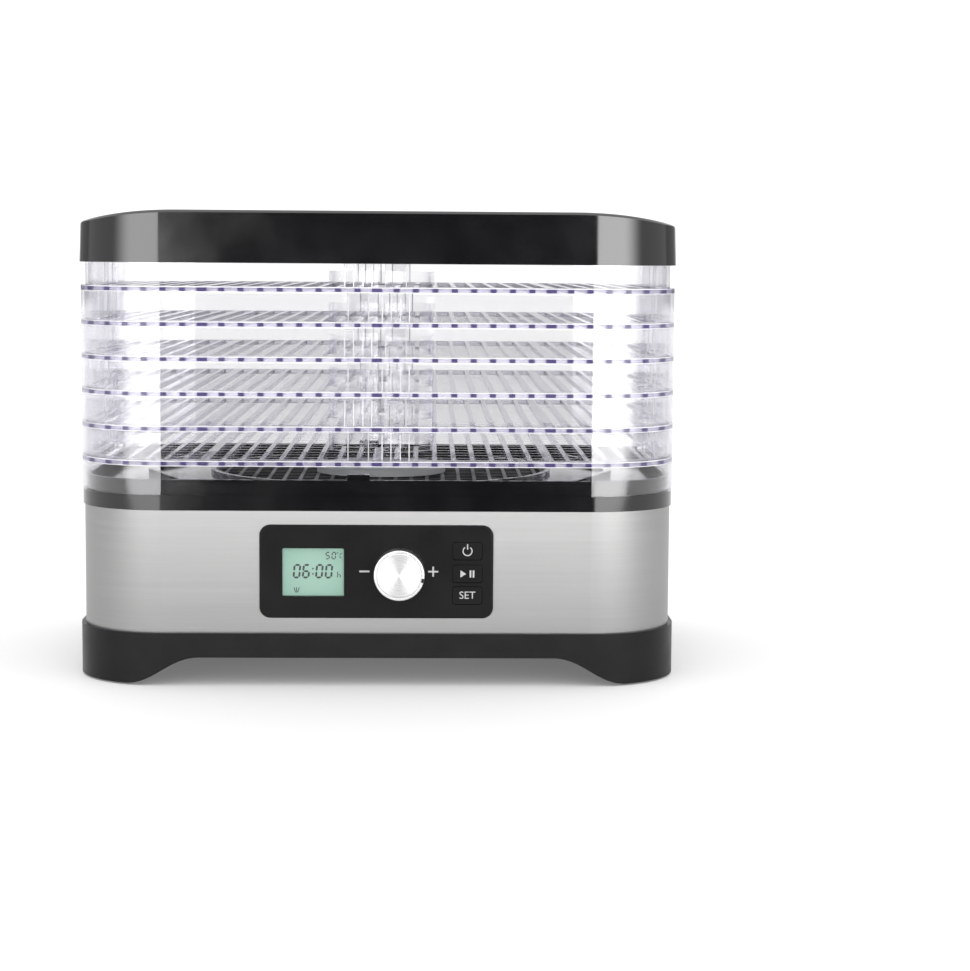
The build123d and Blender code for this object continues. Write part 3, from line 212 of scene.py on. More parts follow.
def shader(name, **inputs):
    """A material with one Principled shader; returns the material, its graph and the shader."""
    material = bpy.data.materials.new(name)
    material.use_nodes = True
    graph = Graph(material.node_tree)
    surface = graph.node("ShaderNodeBsdfPrincipled")
    output = graph.node("ShaderNodeOutputMaterial")
    graph.link(surface.outputs[0], output.inputs["Surface"])
    for key, value in inputs.items():
        socket = surface.inputs[key.replace("_", " ")]
        socket.default_value = (*value, 1) if isinstance(value, tuple) and len(value) == 3 else value
    return material, graph, surface


# ------------------------------------------------ sizes shared with the CAD parts
TRAY_CORNER = 50.0 * MM
TRAY_PITCH = 19.24 * MM
TRAY_COUNT = 6
SHELF_RISE = 19.19 * MM  # top of a shelf above the foot of its own skirt
SHELF_THICKNESS = 3.0 * MM
RIB_PITCH = 10.7 * MM
RUNG_PITCH = 17.0 * MM
WIDE_RIB_EVERY = 9
LID_CORNER = 50.5 * MM
BAND_CORNER = 49.65 * MM
LID_DRAFT = 2.0  # degrees


# --------------------------------------------------------------------- materials
RIPPLE_DEPTH = 2.0 * MM
GRAIN_DEPTH = 0.2 * MM


def shade(colour, share, lift=0.0):
    """Colour times a share, plus a little."""
    return tuple(value * share + lift for value in colour)


def moulded_black(name, colour, roughness, grain, specular, wall=None):
    """Black moulding: faint large-scale ripple, fine grain and slight gloss variation."""
    material, g, surface = shader(name, Specular_IOR_Level=specular)
    smooth = g.plan_normal(*wall) if wall else None
    where = g.place()
    broad = g.noise(where, scale=40.0, detail=3.0)
    fine = g.noise(where, scale=2600.0, detail=2.0)
    brighter = shade(colour, 1.7, lift=0.001)
    g.feed(surface.inputs["Base Color"], g.tint(broad, colour, brighter))
    g.feed(surface.inputs["Roughness"], g.vary(broad, roughness * 0.85, roughness * 1.2))
    waves = g.noise(where, scale=9.0, detail=1.0)
    ripple = g.bump(waves, strength=0.05, distance=RIPPLE_DEPTH, before=smooth)
    g.feed(surface.inputs["Normal"], g.bump(fine, strength=grain, distance=GRAIN_DEPTH, before=ripple))
    return material


def brushed_steel():
    """Sheet brushed along the wrap: fine lines that change only with height, and long streaks."""
    material, g, surface = shader("brushed_steel", Metallic=1.0, Anisotropic=0.75)
    lines = g.noise(g.place((3.0, 3.0, 900.0)), scale=6.0, detail=6.0, roughness=0.7)
    streaks = g.noise(g.place((1.0, 1.0, 60.0)), scale=5.0, detail=4.0, roughness=0.6)
    patches = g.noise(g.place(), scale=12.0, detail=2.0)
    tone = g.math("ADD", g.math("MULTIPLY", lines, 0.6), g.math("MULTIPLY", streaks, 0.4))
    g.feed(surface.inputs["Base Color"], g.tint(tone, (0.235, 0.235, 0.233), (0.37, 0.37, 0.367)))
    rough = g.math("ADD", g.vary(tone, 0.30, 0.42), g.math("MULTIPLY", patches, 0.05))
    g.feed(surface.inputs["Roughness"], rough)
    tangent = g.node("ShaderNodeTangent", direction_type="RADIAL", axis="Z")
    g.link(tangent.outputs[0], surface.inputs["Tangent"])
    g.feed(surface.inputs["Normal"], g.bump(lines, strength=0.10, distance=GRAIN_DEPTH))
    return material


def spun_metal():
    """Knob face: turned round its middle, so the highlight is two opposite lobes."""
    box_low, box_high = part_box("knob_cap")
    middle = [(a + b) / 2 for a, b in zip(box_low, box_high)]
    material, g, surface = shader("spun_metal", Metallic=1.0, Anisotropic=0.85, Anisotropic_Rotation=0.25)
    x, _, z = g.position()
    across = g.math("SUBTRACT", x, middle[0])
    up = g.math("SUBTRACT", z, middle[2])
    radius = g.length(across, up)
    rings = g.node("ShaderNodeTexNoise", noise_dimensions="1D")
    g.feed(rings.inputs["W"], radius)
    rings.inputs["Scale"].default_value = 4200.0
    rings.inputs["Detail"].default_value = 3.0
    groove = rings.outputs["Fac"]
    g.feed(surface.inputs["Base Color"], g.tint(groove, (0.72, 0.72, 0.72), (0.80, 0.80, 0.80)))
    g.feed(surface.inputs["Roughness"], g.vary(groove, 0.24, 0.34))
    round_middle = g.to_world(g.math("MULTIPLY", up, -1.0), 0.0, across, "VECTOR")
    g.link(round_middle, surface.inputs["Tangent"])
    g.feed(surface.inputs["Normal"], g.bump(groove, strength=0.035, distance=GRAIN_DEPTH))
    return material


def satin_metal(name, colour, roughness):
    """Plain metal with a faint cloud and a fine grain."""
    material, g, surface = shader(name, Metallic=1.0)
    where = g.place()
    cloud = g.noise(where, scale=90.0, detail=4.0)
    g.feed(surface.inputs["Base Color"], g.tint(cloud, shade(colour, 0.85), colour))
    g.feed(surface.inputs["Roughness"], g.vary(cloud, roughness * 0.85, roughness * 1.15))
    grain = g.noise(where, scale=1500.0)
    g.link(g.bump(grain, strength=0.05, distance=GRAIN_DEPTH), surface.inputs["Normal"])
    return material


PLASTIC_IOR = 1.49


def clear_plastic(name, through, edge_on, gloss, ribs_edge_on=None):
    """Clear plastic: it lets light through with a slight cast and mirrors at a glance.

    The cast is strongest where a wall is seen edge on, as light has the longest way through it there,
    and stronger still in the shelves when ribs_edge_on is given.
    """
    material = bpy.data.materials.new(name)
    material.use_nodes = True
    g = Graph(material.node_tree)
    output = g.node("ShaderNodeOutputMaterial")
    facing = g.node("ShaderNodeLayerWeight")
    facing.inputs["Blend"].default_value = 0.5
    cloud = g.noise(g.place(), scale=25.0, detail=2.0)
    depth = g.spread(facing.outputs["Facing"], 0.35, 1.0)
    cast = g.tint(depth, through, edge_on)
    if ribs_edge_on:
        _, _, z = g.position()
        height = g.math("WRAP", g.math("SUBTRACT", z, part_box("tray_1")[0][2]), TRAY_PITCH, 0.0)
        in_shelf = g.math("GREATER_THAN", height, SHELF_RISE - SHELF_THICKNESS)
        ribs = g.tint(depth, through, ribs_edge_on)
        both = g.node("ShaderNodeMix", data_type="RGBA")
        for socket, value in zip((both.inputs[0], both.inputs[6], both.inputs[7]), (in_shelf, cast, ribs)):
            g.link(value, socket)
        cast = both.outputs[2]
    clear = g.node("ShaderNodeBsdfTransparent")
    g.feed(clear.inputs["Color"], cast)
    mirror = g.node("ShaderNodeBsdfGlossy")
    mirror.inputs["Color"].default_value = (0.98, 0.977, 0.99, 1)
    g.feed(mirror.inputs["Roughness"], g.vary(cloud, gloss * 0.6, gloss * 1.4))
    waves = g.noise(g.place(), scale=45.0, detail=2.0)
    ripple = g.bump(waves, strength=0.08, distance=RIPPLE_DEPTH / 2)
    g.link(ripple, mirror.inputs["Normal"])
    # both faces of a wall mirror alike, as light passes it without being turned
    strength = g.node("ShaderNodeFresnel")
    geometry = g.node("ShaderNodeNewGeometry")
    inside = g.math("MULTIPLY", geometry.outputs["Backfacing"], 1 / PLASTIC_IOR - PLASTIC_IOR)
    g.feed(strength.inputs["IOR"], g.math("ADD", inside, PLASTIC_IOR))
    mix = g.node("ShaderNodeMixShader")
    g.feed(mix.inputs[0], strength.outputs[0])
    g.link(clear.outputs[0], mix.inputs[1])
    g.link(mirror.outputs[0], mix.inputs[2])
    g.link(mix.outputs[0], output.inputs["Surface"])
    return material


def plain_plastic(name, colour, roughness):
    """Matt or half-matt moulding with a faint cloud and a fine grain."""
    material, g, surface = shader(name)
    where = g.place()
    cloud = g.noise(where, scale=50.0, detail=3.0)
    g.feed(surface.inputs["Base Color"], g.tint(cloud, shade(colour, 0.9), colour))
    g.feed(surface.inputs["Roughness"], g.vary(cloud, roughness * 0.9, roughness * 1.15))
    grain = g.noise(where, scale=2200.0)
    g.link(g.bump(grain, strength=0.08, distance=GRAIN_DEPTH), surface.inputs["Normal"])
    return material


def glowing_display():
    """Backlit display: mint green, brightest in the middle."""
    low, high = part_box("lcd_window")
    material, g, surface = shader("display_backlight", Roughness=0.35)
    x, _, z = g.position()
    across = g.math("DIVIDE", g.math("SUBTRACT", x, (low[0] + high[0]) / 2), high[0] - low[0])
    up = g.math("DIVIDE", g.math("SUBTRACT", z, (low[2] + high[2]) / 2), high[2] - low[2])
    off_middle = g.spread(g.length(across, up), 0.2, 0.7)
    colour = g.tint(off_middle, (0.205, 0.325, 0.268), (0.165, 0.285, 0.232))
    g.feed(surface.inputs["Base Color"], colour)
    g.feed(surface.inputs["Emission Color"], colour)
    surface.inputs["Emission Strength"].default_value = 0.35
    return material


def plan_of(name, corner, draft=0.0):
    """Half length, half depth, corner and slope of a piece's outer wall."""
    low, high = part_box(name)
    return (high[0] - low[0]) / 2, (high[1] - low[1]) / 2, corner, math.tan(math.radians(draft))


DEEP_BLACK = (0.0022, 0.0022, 0.0026)
SOFT_BLACK = (0.0085, 0.0085, 0.009)
PANEL_TONE = (0.006, 0.006, 0.0063)
LID_WALL = plan_of("lid", LID_CORNER, LID_DRAFT)
DECK_WALL = plan_of("top_deck", BAND_CORNER)
GLOSS_BLACK = moulded_black("gloss_black", DEEP_BLACK, 0.10, grain=0.01, specular=1.0, wall=LID_WALL)
DECK_BLACK = moulded_black("deck_black", DEEP_BLACK, 0.10, grain=0.02, specular=0.60, wall=DECK_WALL)
SATIN_BLACK = moulded_black("satin_black", SOFT_BLACK, roughness=0.34, grain=0.12, specular=0.10)
PANEL_BLACK = moulded_black("panel_black", PANEL_TONE, roughness=0.20, grain=0.05, specular=0.10)
STEEL = brushed_steel()
SPUN = spun_metal()
KNOB_SIDE = satin_metal("knob_side", (0.80, 0.80, 0.80), roughness=0.28)
PLAIN_METAL = satin_metal("plain_metal", (0.55, 0.55, 0.55), roughness=0.4)
CLEAR = clear_plastic(
    "clear_plastic",
    through=(0.992, 0.992, 0.994),
    edge_on=(0.93, 0.928, 0.945),
    gloss=0.05,
    ribs_edge_on=(0.48, 0.47, 0.55),
)
LIGHT_GREY = plain_plastic("light_grey", (0.55, 0.56, 0.55), roughness=0.35)
RUBBER = plain_plastic("rubber", (0.02, 0.02, 0.02), roughness=0.8)
BOARD_GREEN = plain_plastic("board_green", (0.02, 0.13, 0.05), roughness=0.4)
RIBBON = plain_plastic("ribbon_grey", (0.35, 0.36, 0.38), roughness=0.5)
MICA = plain_plastic("mica", (0.50, 0.43, 0.30), roughness=0.5)
DISPLAY = glowing_display()
INK = plain_plastic("print_white", (0.40, 0.40, 0.40), roughness=0.5)
SEGMENT = plain_plastic("display_segment", (0.007, 0.017, 0.016), roughness=0.5)
PANE = clear_plastic("display_pane", through=(0.97, 0.98, 0.975), edge_on=(0.90, 0.93, 0.92), gloss=0.05)

LOOKS = {
    GLOSS_BLACK: ["lid"],
    DECK_BLACK: ["top_deck"],
    CLEAR: [f"tray_{number}" for number in range(1, TRAY_COUNT + 1)],
    SATIN_BLACK: [
        "base_bottom", "outlet_grille", "fan_impeller", "cord_gland", "capacitors", "encoder",
        "tact_switches",
    ],
    PANEL_BLACK: ["control_panel", "power_button", "start_pause_button", "set_button"],
    LIGHT_GREY: ["grille_cap", "heater_relay"],
    STEEL: ["steel_wrap"],
    SPUN: ["knob_cap"],
    KNOB_SIDE: ["knob_body"],
    RUBBER: ["rubber_feet"],
    BOARD_GREEN: ["control_board", "power_board"],
    RIBBON: ["ribbon_cable"],
    MICA: ["heater_frame"],
    DISPLAY: ["lcd_module"],
    PANE: ["lcd_window"],
    PLAIN_METAL: [
        "transformer", "motor_shaft", "encoder_shaft", "case_screws", "motor_screws", "board_screws",
        "motor_bracket", "fan_motor", "duct_shroud", "heater_coil", "thermal_cutout", "thermal_fuse",
        "temperature_sensor",
    ],
}
for material, names in LOOKS.items():
    for name in names:
        for slot in nodes[name].material_slots:
            slot.material = material


# ------------------------------------------------------------ flat printed marks
def plate(name, outlines, front, thickness, material, body):
    """Thin solid of one or more outlines in X and Z, its face at y = front."""
    mesh = bpy.data.meshes.new(name)
    shape = bmesh.new()
    for outline in outlines:
        corners = [shape.verts.new((x, front, z)) for x, z in outline]
        shape.faces.new(corners)
    bmesh.ops.recalc_face_normals(shape, faces=shape.faces)
    flipped = [face for face in shape.faces if face.normal.y > 0]
    bmesh.ops.reverse_faces(shape, faces=flipped)
    grown = bmesh.ops.extrude_face_region(shape, geom=list(shape.faces))
    moved = [item for item in grown["geom"] if isinstance(item, bmesh.types.BMVert)]
    bmesh.ops.translate(shape, verts=moved, vec=(0, thickness, 0))
    bmesh.ops.recalc_face_normals(shape, faces=shape.faces)
    shape.to_mesh(mesh)
    shape.free()
    mesh.materials.append(material)
    made = bpy.data.objects.new(name, mesh)
    scene.collection.objects.link(made)
    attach(made, body)
    return made


def bar(x, z, width, height, lean=0.0):
    """Corners of an upright bar about its middle, leaning by lean times its height."""
    half_w, half_h = width / 2, height / 2
    return [
        (x - half_w - lean * half_h, z - half_h),
        (x + half_w - lean * half_h, z - half_h),
        (x + half_w + lean * half_h, z + half_h),
        (x - half_w + lean * half_h, z + half_h),
    ]


def ring_arc(x, z, radius, width, start, end, steps=28):
    """Band of a ring between two angles in degrees, measured from +X towards +Z."""
    angles = [math.radians(start + (end - start) * step / steps) for step in range(steps + 1)]
    outer = [(x + radius * math.cos(a), z + radius * math.sin(a)) for a in angles]
    hole = radius - width
    inner = [(x + hole * math.cos(a), z + hole * math.sin(a)) for a in reversed(angles)]
    return outer + inner


SEGMENTS = {"0": "abcdef", "5": "afgcd", "6": "afgedc", "h": "fegc", "C": "afed"}
DIGIT_LEAN = 0.09  # sideways per height
STROKE_GAP = 0.18  # between segments, as a share of their stroke


def digit(sign, x, z, width, height, stroke):
    """Seven-segment sign with its middle at x, z."""
    half_w, half_h, nib = width / 2, height / 2, stroke / 2
    gap = stroke * STROKE_GAP
    places = {
        "a": (0, half_h, True), "g": (0, 0, True), "d": (0, -half_h, True),
        "f": (-half_w, half_h / 2, False), "b": (half_w, half_h / 2, False),
        "e": (-half_w, -half_h / 2, False), "c": (half_w, -half_h / 2, False),
    }
    shapes = []
    for key in SEGMENTS[sign]:
        dx, dz, level = places[key]
        if level:
            long_half = half_w - gap
            points = [
                (-long_half, 0), (-long_half + nib, nib), (long_half - nib, nib),
                (long_half, 0), (long_half - nib, -nib), (-long_half + nib, -nib),
            ]
        else:
            long_half = half_h / 2 - gap
            points = [
                (0, -long_half), (nib, -long_half + nib), (nib, long_half - nib),
                (0, long_half), (-nib, long_half - nib), (-nib, -long_half + nib),
            ]
        shapes.append([(x + dx + px + DIGIT_LEAN * (dz + pz), z + dz + pz) for px, pz in points])
    return shapes


# width and height as shares of the window's, and stroke
TIME_SIZE = (0.092, 0.262, 1.12 * MM)
HOUR_SIZE = (0.046, 0.135, 0.52 * MM)
HEAT_SIZE = (0.054, 0.135, 0.64 * MM)
UNIT_SIZE = (0.032, 0.095, 0.48 * MM)
TIME_UP, HOUR_UP, HEAT_UP = 0.515, 0.445, 0.845
# sign, and its place across and up the window, as shares of its width and height
DISPLAY_SIGNS = (
    ("0", 0.235, TIME_UP, TIME_SIZE),
    ("6", 0.385, TIME_UP, TIME_SIZE),
    ("0", 0.60, TIME_UP, TIME_SIZE),
    ("0", 0.755, TIME_UP, TIME_SIZE),
    ("h", 0.918, HOUR_UP, HOUR_SIZE),
    ("5", 0.735, HEAT_UP, HEAT_SIZE),
    ("0", 0.835, HEAT_UP, HEAT_SIZE),
    ("C", 0.952, HEAT_UP, UNIT_SIZE),
)
COLON_PLACES = ((0.495, 0.46), (0.495, 0.57))
COLON_DOT = 0.85 * MM
DEGREE_PLACE = (0.895, 0.90)
DEGREE_RADIUS, DEGREE_STROKE = 0.42 * MM, 0.2 * MM
WAVE_PLACES = ((0.20, 0.12), (0.23, 0.12), (0.26, 0.12))  # three short strokes at the bottom left
WAVE_LEANS = (-0.3, 0.0, 0.3)
WAVE_STROKE, WAVE_HEIGHT = 0.5 * MM, 2.9 * MM
FIGURE_DEPTH, FIGURE_THICKNESS = 0.12 * MM, 0.08 * MM  # figures lie just inside the window's back


def display_face():
    """Time, temperature and a small sign on the display, seen through its window."""
    low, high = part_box("lcd_window")
    wide, tall = high[0] - low[0], high[2] - low[2]

    def place(across, up):
        return low[0] + across * wide, low[2] + up * tall

    shapes = []
    for sign, across, up, (width, height, stroke) in DISPLAY_SIGNS:
        shapes += digit(sign, *place(across, up), width * wide, height * tall, stroke)
    for across, up in COLON_PLACES:
        shapes.append(bar(*place(across, up), COLON_DOT, COLON_DOT))
    for start in (0, 180):
        half_ring = ring_arc(*place(*DEGREE_PLACE), DEGREE_RADIUS, DEGREE_STROKE, start, start + 180, steps=8)
        shapes.append(half_ring)
    for (across, up), lean in zip(WAVE_PLACES, WAVE_LEANS):
        shapes.append(bar(*place(across, up), WAVE_STROKE, WAVE_HEIGHT, lean))
    face = high[1] - FIGURE_DEPTH
    plate("display_signs", shapes, face, FIGURE_THICKNESS, SEGMENT, "base")


PRINT_LIFT, PRINT_THICKNESS = 0.02 * MM, 0.05 * MM  # printing stands this far off its face
MARK_RISE = 0.8 * MM  # above the knob's middle
MINUS_X, PLUS_X = -19.5 * MM, 18.8 * MM  # from the knob's middle
MARK_LENGTH, MARK_STROKE = 5.6 * MM, 0.95 * MM
# place of the flat dark arc that paints the shade of the knob's notch
NOTCH_RADIUS, NOTCH_WIDTH = 13.9 * MM, 1.3 * MM
NOTCH_START, NOTCH_END = -17, -7  # degrees


def printed(name, shapes, face, body, material=INK):
    """Flat mark on a face looking to the front."""
    plate(name, shapes, face - PRINT_LIFT, PRINT_THICKNESS, material, body)


def front_centre(name):
    """Middle of a piece in X and Z, and the Y of its front."""
    low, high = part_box(name)
    return (low[0] + high[0]) / 2, (low[2] + high[2]) / 2, low[1]


def panel_marks():
    """Minus and plus beside the knob, printed on the panel, and painted shade for the notch in the knob's
    rim: a flat dark arc, not a cut.
    """
    knob_x, knob_z, rim = front_centre("knob_body")
    mark_z = knob_z + MARK_RISE
    plus_x = knob_x + PLUS_X
    arm = (MARK_LENGTH - MARK_STROKE) / 2
    shapes = [bar(knob_x + MINUS_X, mark_z, MARK_LENGTH, MARK_STROKE)]
    shapes.append(bar(plus_x, mark_z, MARK_STROKE, MARK_LENGTH))
    for side in (-1, 1):
        shapes.append(bar(plus_x + side * (arm + MARK_STROKE) / 2, mark_z, arm, MARK_STROKE))
    printed("panel_marks", shapes, front_centre("control_panel")[2], "base")
    # painted shade: a flat dark arc on the knob's front stands in for the shadow in the notch of its rim
    notch = ring_arc(knob_x, knob_z, NOTCH_RADIUS, NOTCH_WIDTH, NOTCH_START, NOTCH_END, steps=4)
    printed("knob_notch_shade", [notch], rim, "knob", SATIN_BLACK)


POWER_RADIUS, POWER_STROKE = 2.8 * MM, 0.6 * MM
POWER_START, POWER_END = 125, 415  # degrees; the ring is open at its top
POWER_BAR = (2.4 * MM, 0.65 * MM, 3.0 * MM)  # rise, width and height
PLAY_LEFT, PLAY_TIP, PLAY_HALF = -3.9 * MM, -0.7 * MM, 2.0 * MM
PAUSE_BARS = (1.7 * MM, 3.4 * MM)
PAUSE_STROKE, PAUSE_HEIGHT = 0.95 * MM, 4.0 * MM
LETTER_SIZE = 5.9 * MM


def key_signs():
    """Power, start/pause and SET, each printed on its own key."""
    x, z, face = front_centre("power_button")
    rise, width, height = POWER_BAR
    ring = ring_arc(x, z, POWER_RADIUS, POWER_STROKE, POWER_START, POWER_END)
    printed("power_sign", [ring, bar(x, z + rise, width, height)], face, "power_key")
    x, z, face = front_centre("start_pause_button")
    shapes = [[(x + PLAY_LEFT, z - PLAY_HALF), (x + PLAY_TIP, z), (x + PLAY_LEFT, z + PLAY_HALF)]]
    for offset in PAUSE_BARS:
        shapes.append(bar(x + offset, z, PAUSE_STROKE, PAUSE_HEIGHT))
    printed("start_pause_sign", shapes, face, "start_pause_key")
    x, z, face = front_centre("set_button")
    curve = bpy.data.curves.new("set_sign", "FONT")
    curve.body = "SET"
    curve.size = LETTER_SIZE
    curve.align_x = "CENTER"
    curve.align_y = "CENTER"
    curve.extrude = PRINT_THICKNESS / 2
    curve.materials.append(INK)
    sign = bpy.data.objects.new("set_sign", curve)
    sign.rotation_euler = (math.radians(90), 0, 0)
    sign.location = (x, face, z)
    scene.collection.objects.link(sign)
    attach(sign, "set_key")


display_face()
panel_marks()
key_signs()


# ------------------------------------------------------------ rims of the trays
RIB_END, WIDE_RIB_END = 3.3 * MM, 5.6 * MM
LAST_RIB, LAST_RUNG = 15, 6  # counted from the middle, those that still end on the rim
RIM_DEPTH = 0.35 * MM  # painted highlights and dark rib ends lie this far under the rim's face
PAINTED_HIGHLIGHT_WIDTH = 0.4 * MM
RIB_END_WIDTH = 0.35 * MM
CORE_DEPTH = RIM_DEPTH + 0.9 * MM
CORE_WIDTH = 0.3 * MM
CORE_MARGIN = 0.2 * MM  # left above and below the core and the rib ends
HIGHLIGHT_TOP, HIGHLIGHT_FOOT = 0.15 * MM, 0.6 * MM  # of the upper painted highlight, below the shelf's top
LOWER_HIGHLIGHT_TOP, LOWER_HIGHLIGHT_FOOT = 0.15 * MM, 0.2 * MM  # of the lower painted highlight, above and below the shelf's underside
RIB_END_TOP = 0.7 * MM  # below the shelf's top


def rim_material(name, colour, solid):
    """Cloudier plastic inside the rim, part clear and part solid; the near-white one is a painted highlight,
    not plastic.
    """
    material = bpy.data.materials.new(name)
    material.use_nodes = True
    g = Graph(material.node_tree)
    output = g.node("ShaderNodeOutputMaterial")
    cloud = g.noise(g.place(), scale=120.0, detail=2.0)
    clear = g.node("ShaderNodeBsdfTransparent")
    clear.inputs["Color"].default_value = (0.96, 0.955, 0.98, 1)
    body = g.node("ShaderNodeBsdfDiffuse")
    g.feed(body.inputs["Color"], g.tint(cloud, shade(colour, 0.8), colour))
    mix = g.node("ShaderNodeMixShader")
    g.feed(mix.inputs[0], g.spread(cloud, 0.25, 0.75, solid * 0.75, solid))
    g.link(clear.outputs[0], mix.inputs[1])
    g.link(body.outputs[0], mix.inputs[2])
    g.link(mix.outputs[0], output.inputs["Surface"])
    return material


RIM_CORE = rim_material("rim_core", (0.62, 0.60, 0.74), solid=0.34)
RIM_DARK = rim_material("rim_rib_end", (0.09, 0.07, 0.19), solid=0.78)
# painted highlight: near-white strips that stand in for the shine along the trays' rims and column edges
PAINTED_HIGHLIGHT = rim_material("rim_painted_highlight", (0.95, 0.95, 0.97), solid=0.85)


def outline_reach(along, half_along, half_across, inset):
    """How far across a tray's outline, drawn in by inset, reaches at a place along it."""
    radius = TRAY_CORNER - inset
    past = max(0.0, abs(along) - (half_along - TRAY_CORNER))
    return half_across - TRAY_CORNER + math.sqrt(max(radius * radius - past * past, 0.0))


def outline_ring(half_x, half_y, inset, steps=14):
    """Points round a tray's whole outline, drawn in by inset."""
    radius = TRAY_CORNER - inset
    points = []
    for quarter in range(4):
        sign_x = (1, -1, -1, 1)[quarter]
        sign_y = (1, 1, -1, -1)[quarter]
        for step in range(steps + 1):
            angle = math.radians(90 * (quarter + step / steps))
            points.append(
                (
                    sign_x * (half_x - TRAY_CORNER) + radius * math.cos(angle),
                    sign_y * (half_y - TRAY_CORNER) + radius * math.sin(angle),
                )
            )
    return points


def wall_patch(shape, outer, inner, low, high, closed=False):
    """Thin upright wall between two lines of points in plan, added to a bmesh."""
    rows = []
    for (x0, y0), (x1, y1) in zip(outer, inner):
        corners = ((x0, y0, low), (x0, y0, high), (x1, y1, high), (x1, y1, low))
        rows.append([shape.verts.new(corner) for corner in corners])
    count = len(rows)
    for index in range(count if closed else count - 1):
        here, there = rows[index], rows[(index + 1) % count]
        for corner in range(4):
            nxt = (corner + 1) % 4
            shape.faces.new((here[corner], there[corner], there[nxt], here[nxt]))
    if not closed:
        shape.faces.new(rows[0])
        shape.faces.new(list(reversed(rows[-1])))


def finish_piece(shape, name, material, body):
    """Turn a bmesh into a piece set inside a tray's clear plastic that rides on a body."""
    bmesh.ops.recalc_face_normals(shape, faces=shape.faces)
    mesh = bpy.data.meshes.new(name)
    shape.to_mesh(mesh)
    shape.free()
    mesh.materials.append(material)
    made = bpy.data.objects.new(name, mesh)
    scene.collection.objects.link(made)
    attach(made, body)


def tray_halves(number):
    """Half length, half depth and the height of the shelf's top of one tray."""
    low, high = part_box(f"tray_{number}")
    return (high[0] - low[0]) / 2, (high[1] - low[1]) / 2, low[2] + SHELF_RISE


def rim_band(shape, half_x, half_y, inset, width, low, high):
    """Closed band inside a tray's rim, added to a bmesh."""
    outer = outline_ring(half_x, half_y, inset)
    inner = outline_ring(half_x, half_y, inset + width)
    wall_patch(shape, outer, inner, low, high, closed=True)


def rib_end_patches(shape, places, half_along, half_across, low, high, swap):
    """Dark end of one rib or rung on both opposite rims; swap puts it on the tray's short sides."""
    for side in (-1, 1):
        lines = []
        for inset in (RIM_DEPTH, RIM_DEPTH + RIB_END_WIDTH):
            reach = [side * outline_reach(place, half_along, half_across, inset) for place in places]
            lines.append(list(zip(reach, places) if swap else zip(places, reach)))
        wall_patch(shape, *lines, low, high)


def tray_rim(number):
    """Cloudy core of one tray's rim, painted highlights along its upper and lower edges, and the dark ends of
    ribs and rungs.
    """
    half_x, half_y, top = tray_halves(number)
    bottom = top - SHELF_THICKNESS
    body = f"tray_{number}_body"
    shape = bmesh.new()
    rim_band(shape, half_x, half_y, CORE_DEPTH, CORE_WIDTH, bottom + CORE_MARGIN, top - CORE_MARGIN)
    finish_piece(shape, f"rim_core_{number}", RIM_CORE, body)
    # painted highlight: two near-white bands under the rim's face, at the shelf's top and at its underside
    shape = bmesh.new()
    rim_band(shape, half_x, half_y, RIM_DEPTH, PAINTED_HIGHLIGHT_WIDTH, top - HIGHLIGHT_FOOT, top - HIGHLIGHT_TOP)
    lower_highlight_foot, lower_highlight_top = bottom - LOWER_HIGHLIGHT_FOOT, bottom + LOWER_HIGHLIGHT_TOP
    rim_band(shape, half_x, half_y, RIM_DEPTH, PAINTED_HIGHLIGHT_WIDTH, lower_highlight_foot, lower_highlight_top)
    finish_piece(shape, f"rim_painted_highlight_{number}", PAINTED_HIGHLIGHT, body)
    shape = bmesh.new()
    low, high = bottom + CORE_MARGIN, top - RIB_END_TOP
    for rib in range(-LAST_RIB, LAST_RIB + 1):
        width = WIDE_RIB_END if rib % WIDE_RIB_EVERY == 0 else RIB_END
        places = [rib * RIB_PITCH + width * (step / 4 - 0.5) for step in range(5)]
        rib_end_patches(shape, places, half_x, half_y, low, high, swap=False)
    for rung in range(-LAST_RUNG, LAST_RUNG + 1):
        places = [rung * RUNG_PITCH - RIB_END / 2, rung * RUNG_PITCH + RIB_END / 2]
        rib_end_patches(shape, places, half_y, half_x, low, high, swap=True)
    finish_piece(shape, f"rib_ends_{number}", RIM_DARK, body)


COLUMN_OFFSET = 10.4 * MM  # of posts and pockets, to either side of the middle
COLLAR_INSIDE = 4.4 * MM  # from the outline to the inside of the collar
# painted highlight lines on the columns: depth, half width and inset
HIGHLIGHT_LINE_DEPTH, HIGHLIGHT_LINE_HALF = 0.5 * MM, 0.3 * MM
HIGHLIGHT_LINE_INSET = 0.3 * MM  # under the column's face
# distance from the collar, height of the painted highlight lines, and where they stand about the middle
POST = (1.7 * MM, 18.6 * MM, (-5.7 * MM, 5.7 * MM))
POCKET = (0.0, 14.6 * MM, (-7.5 * MM, -2.6 * MM, 2.6 * MM, 7.5 * MM))


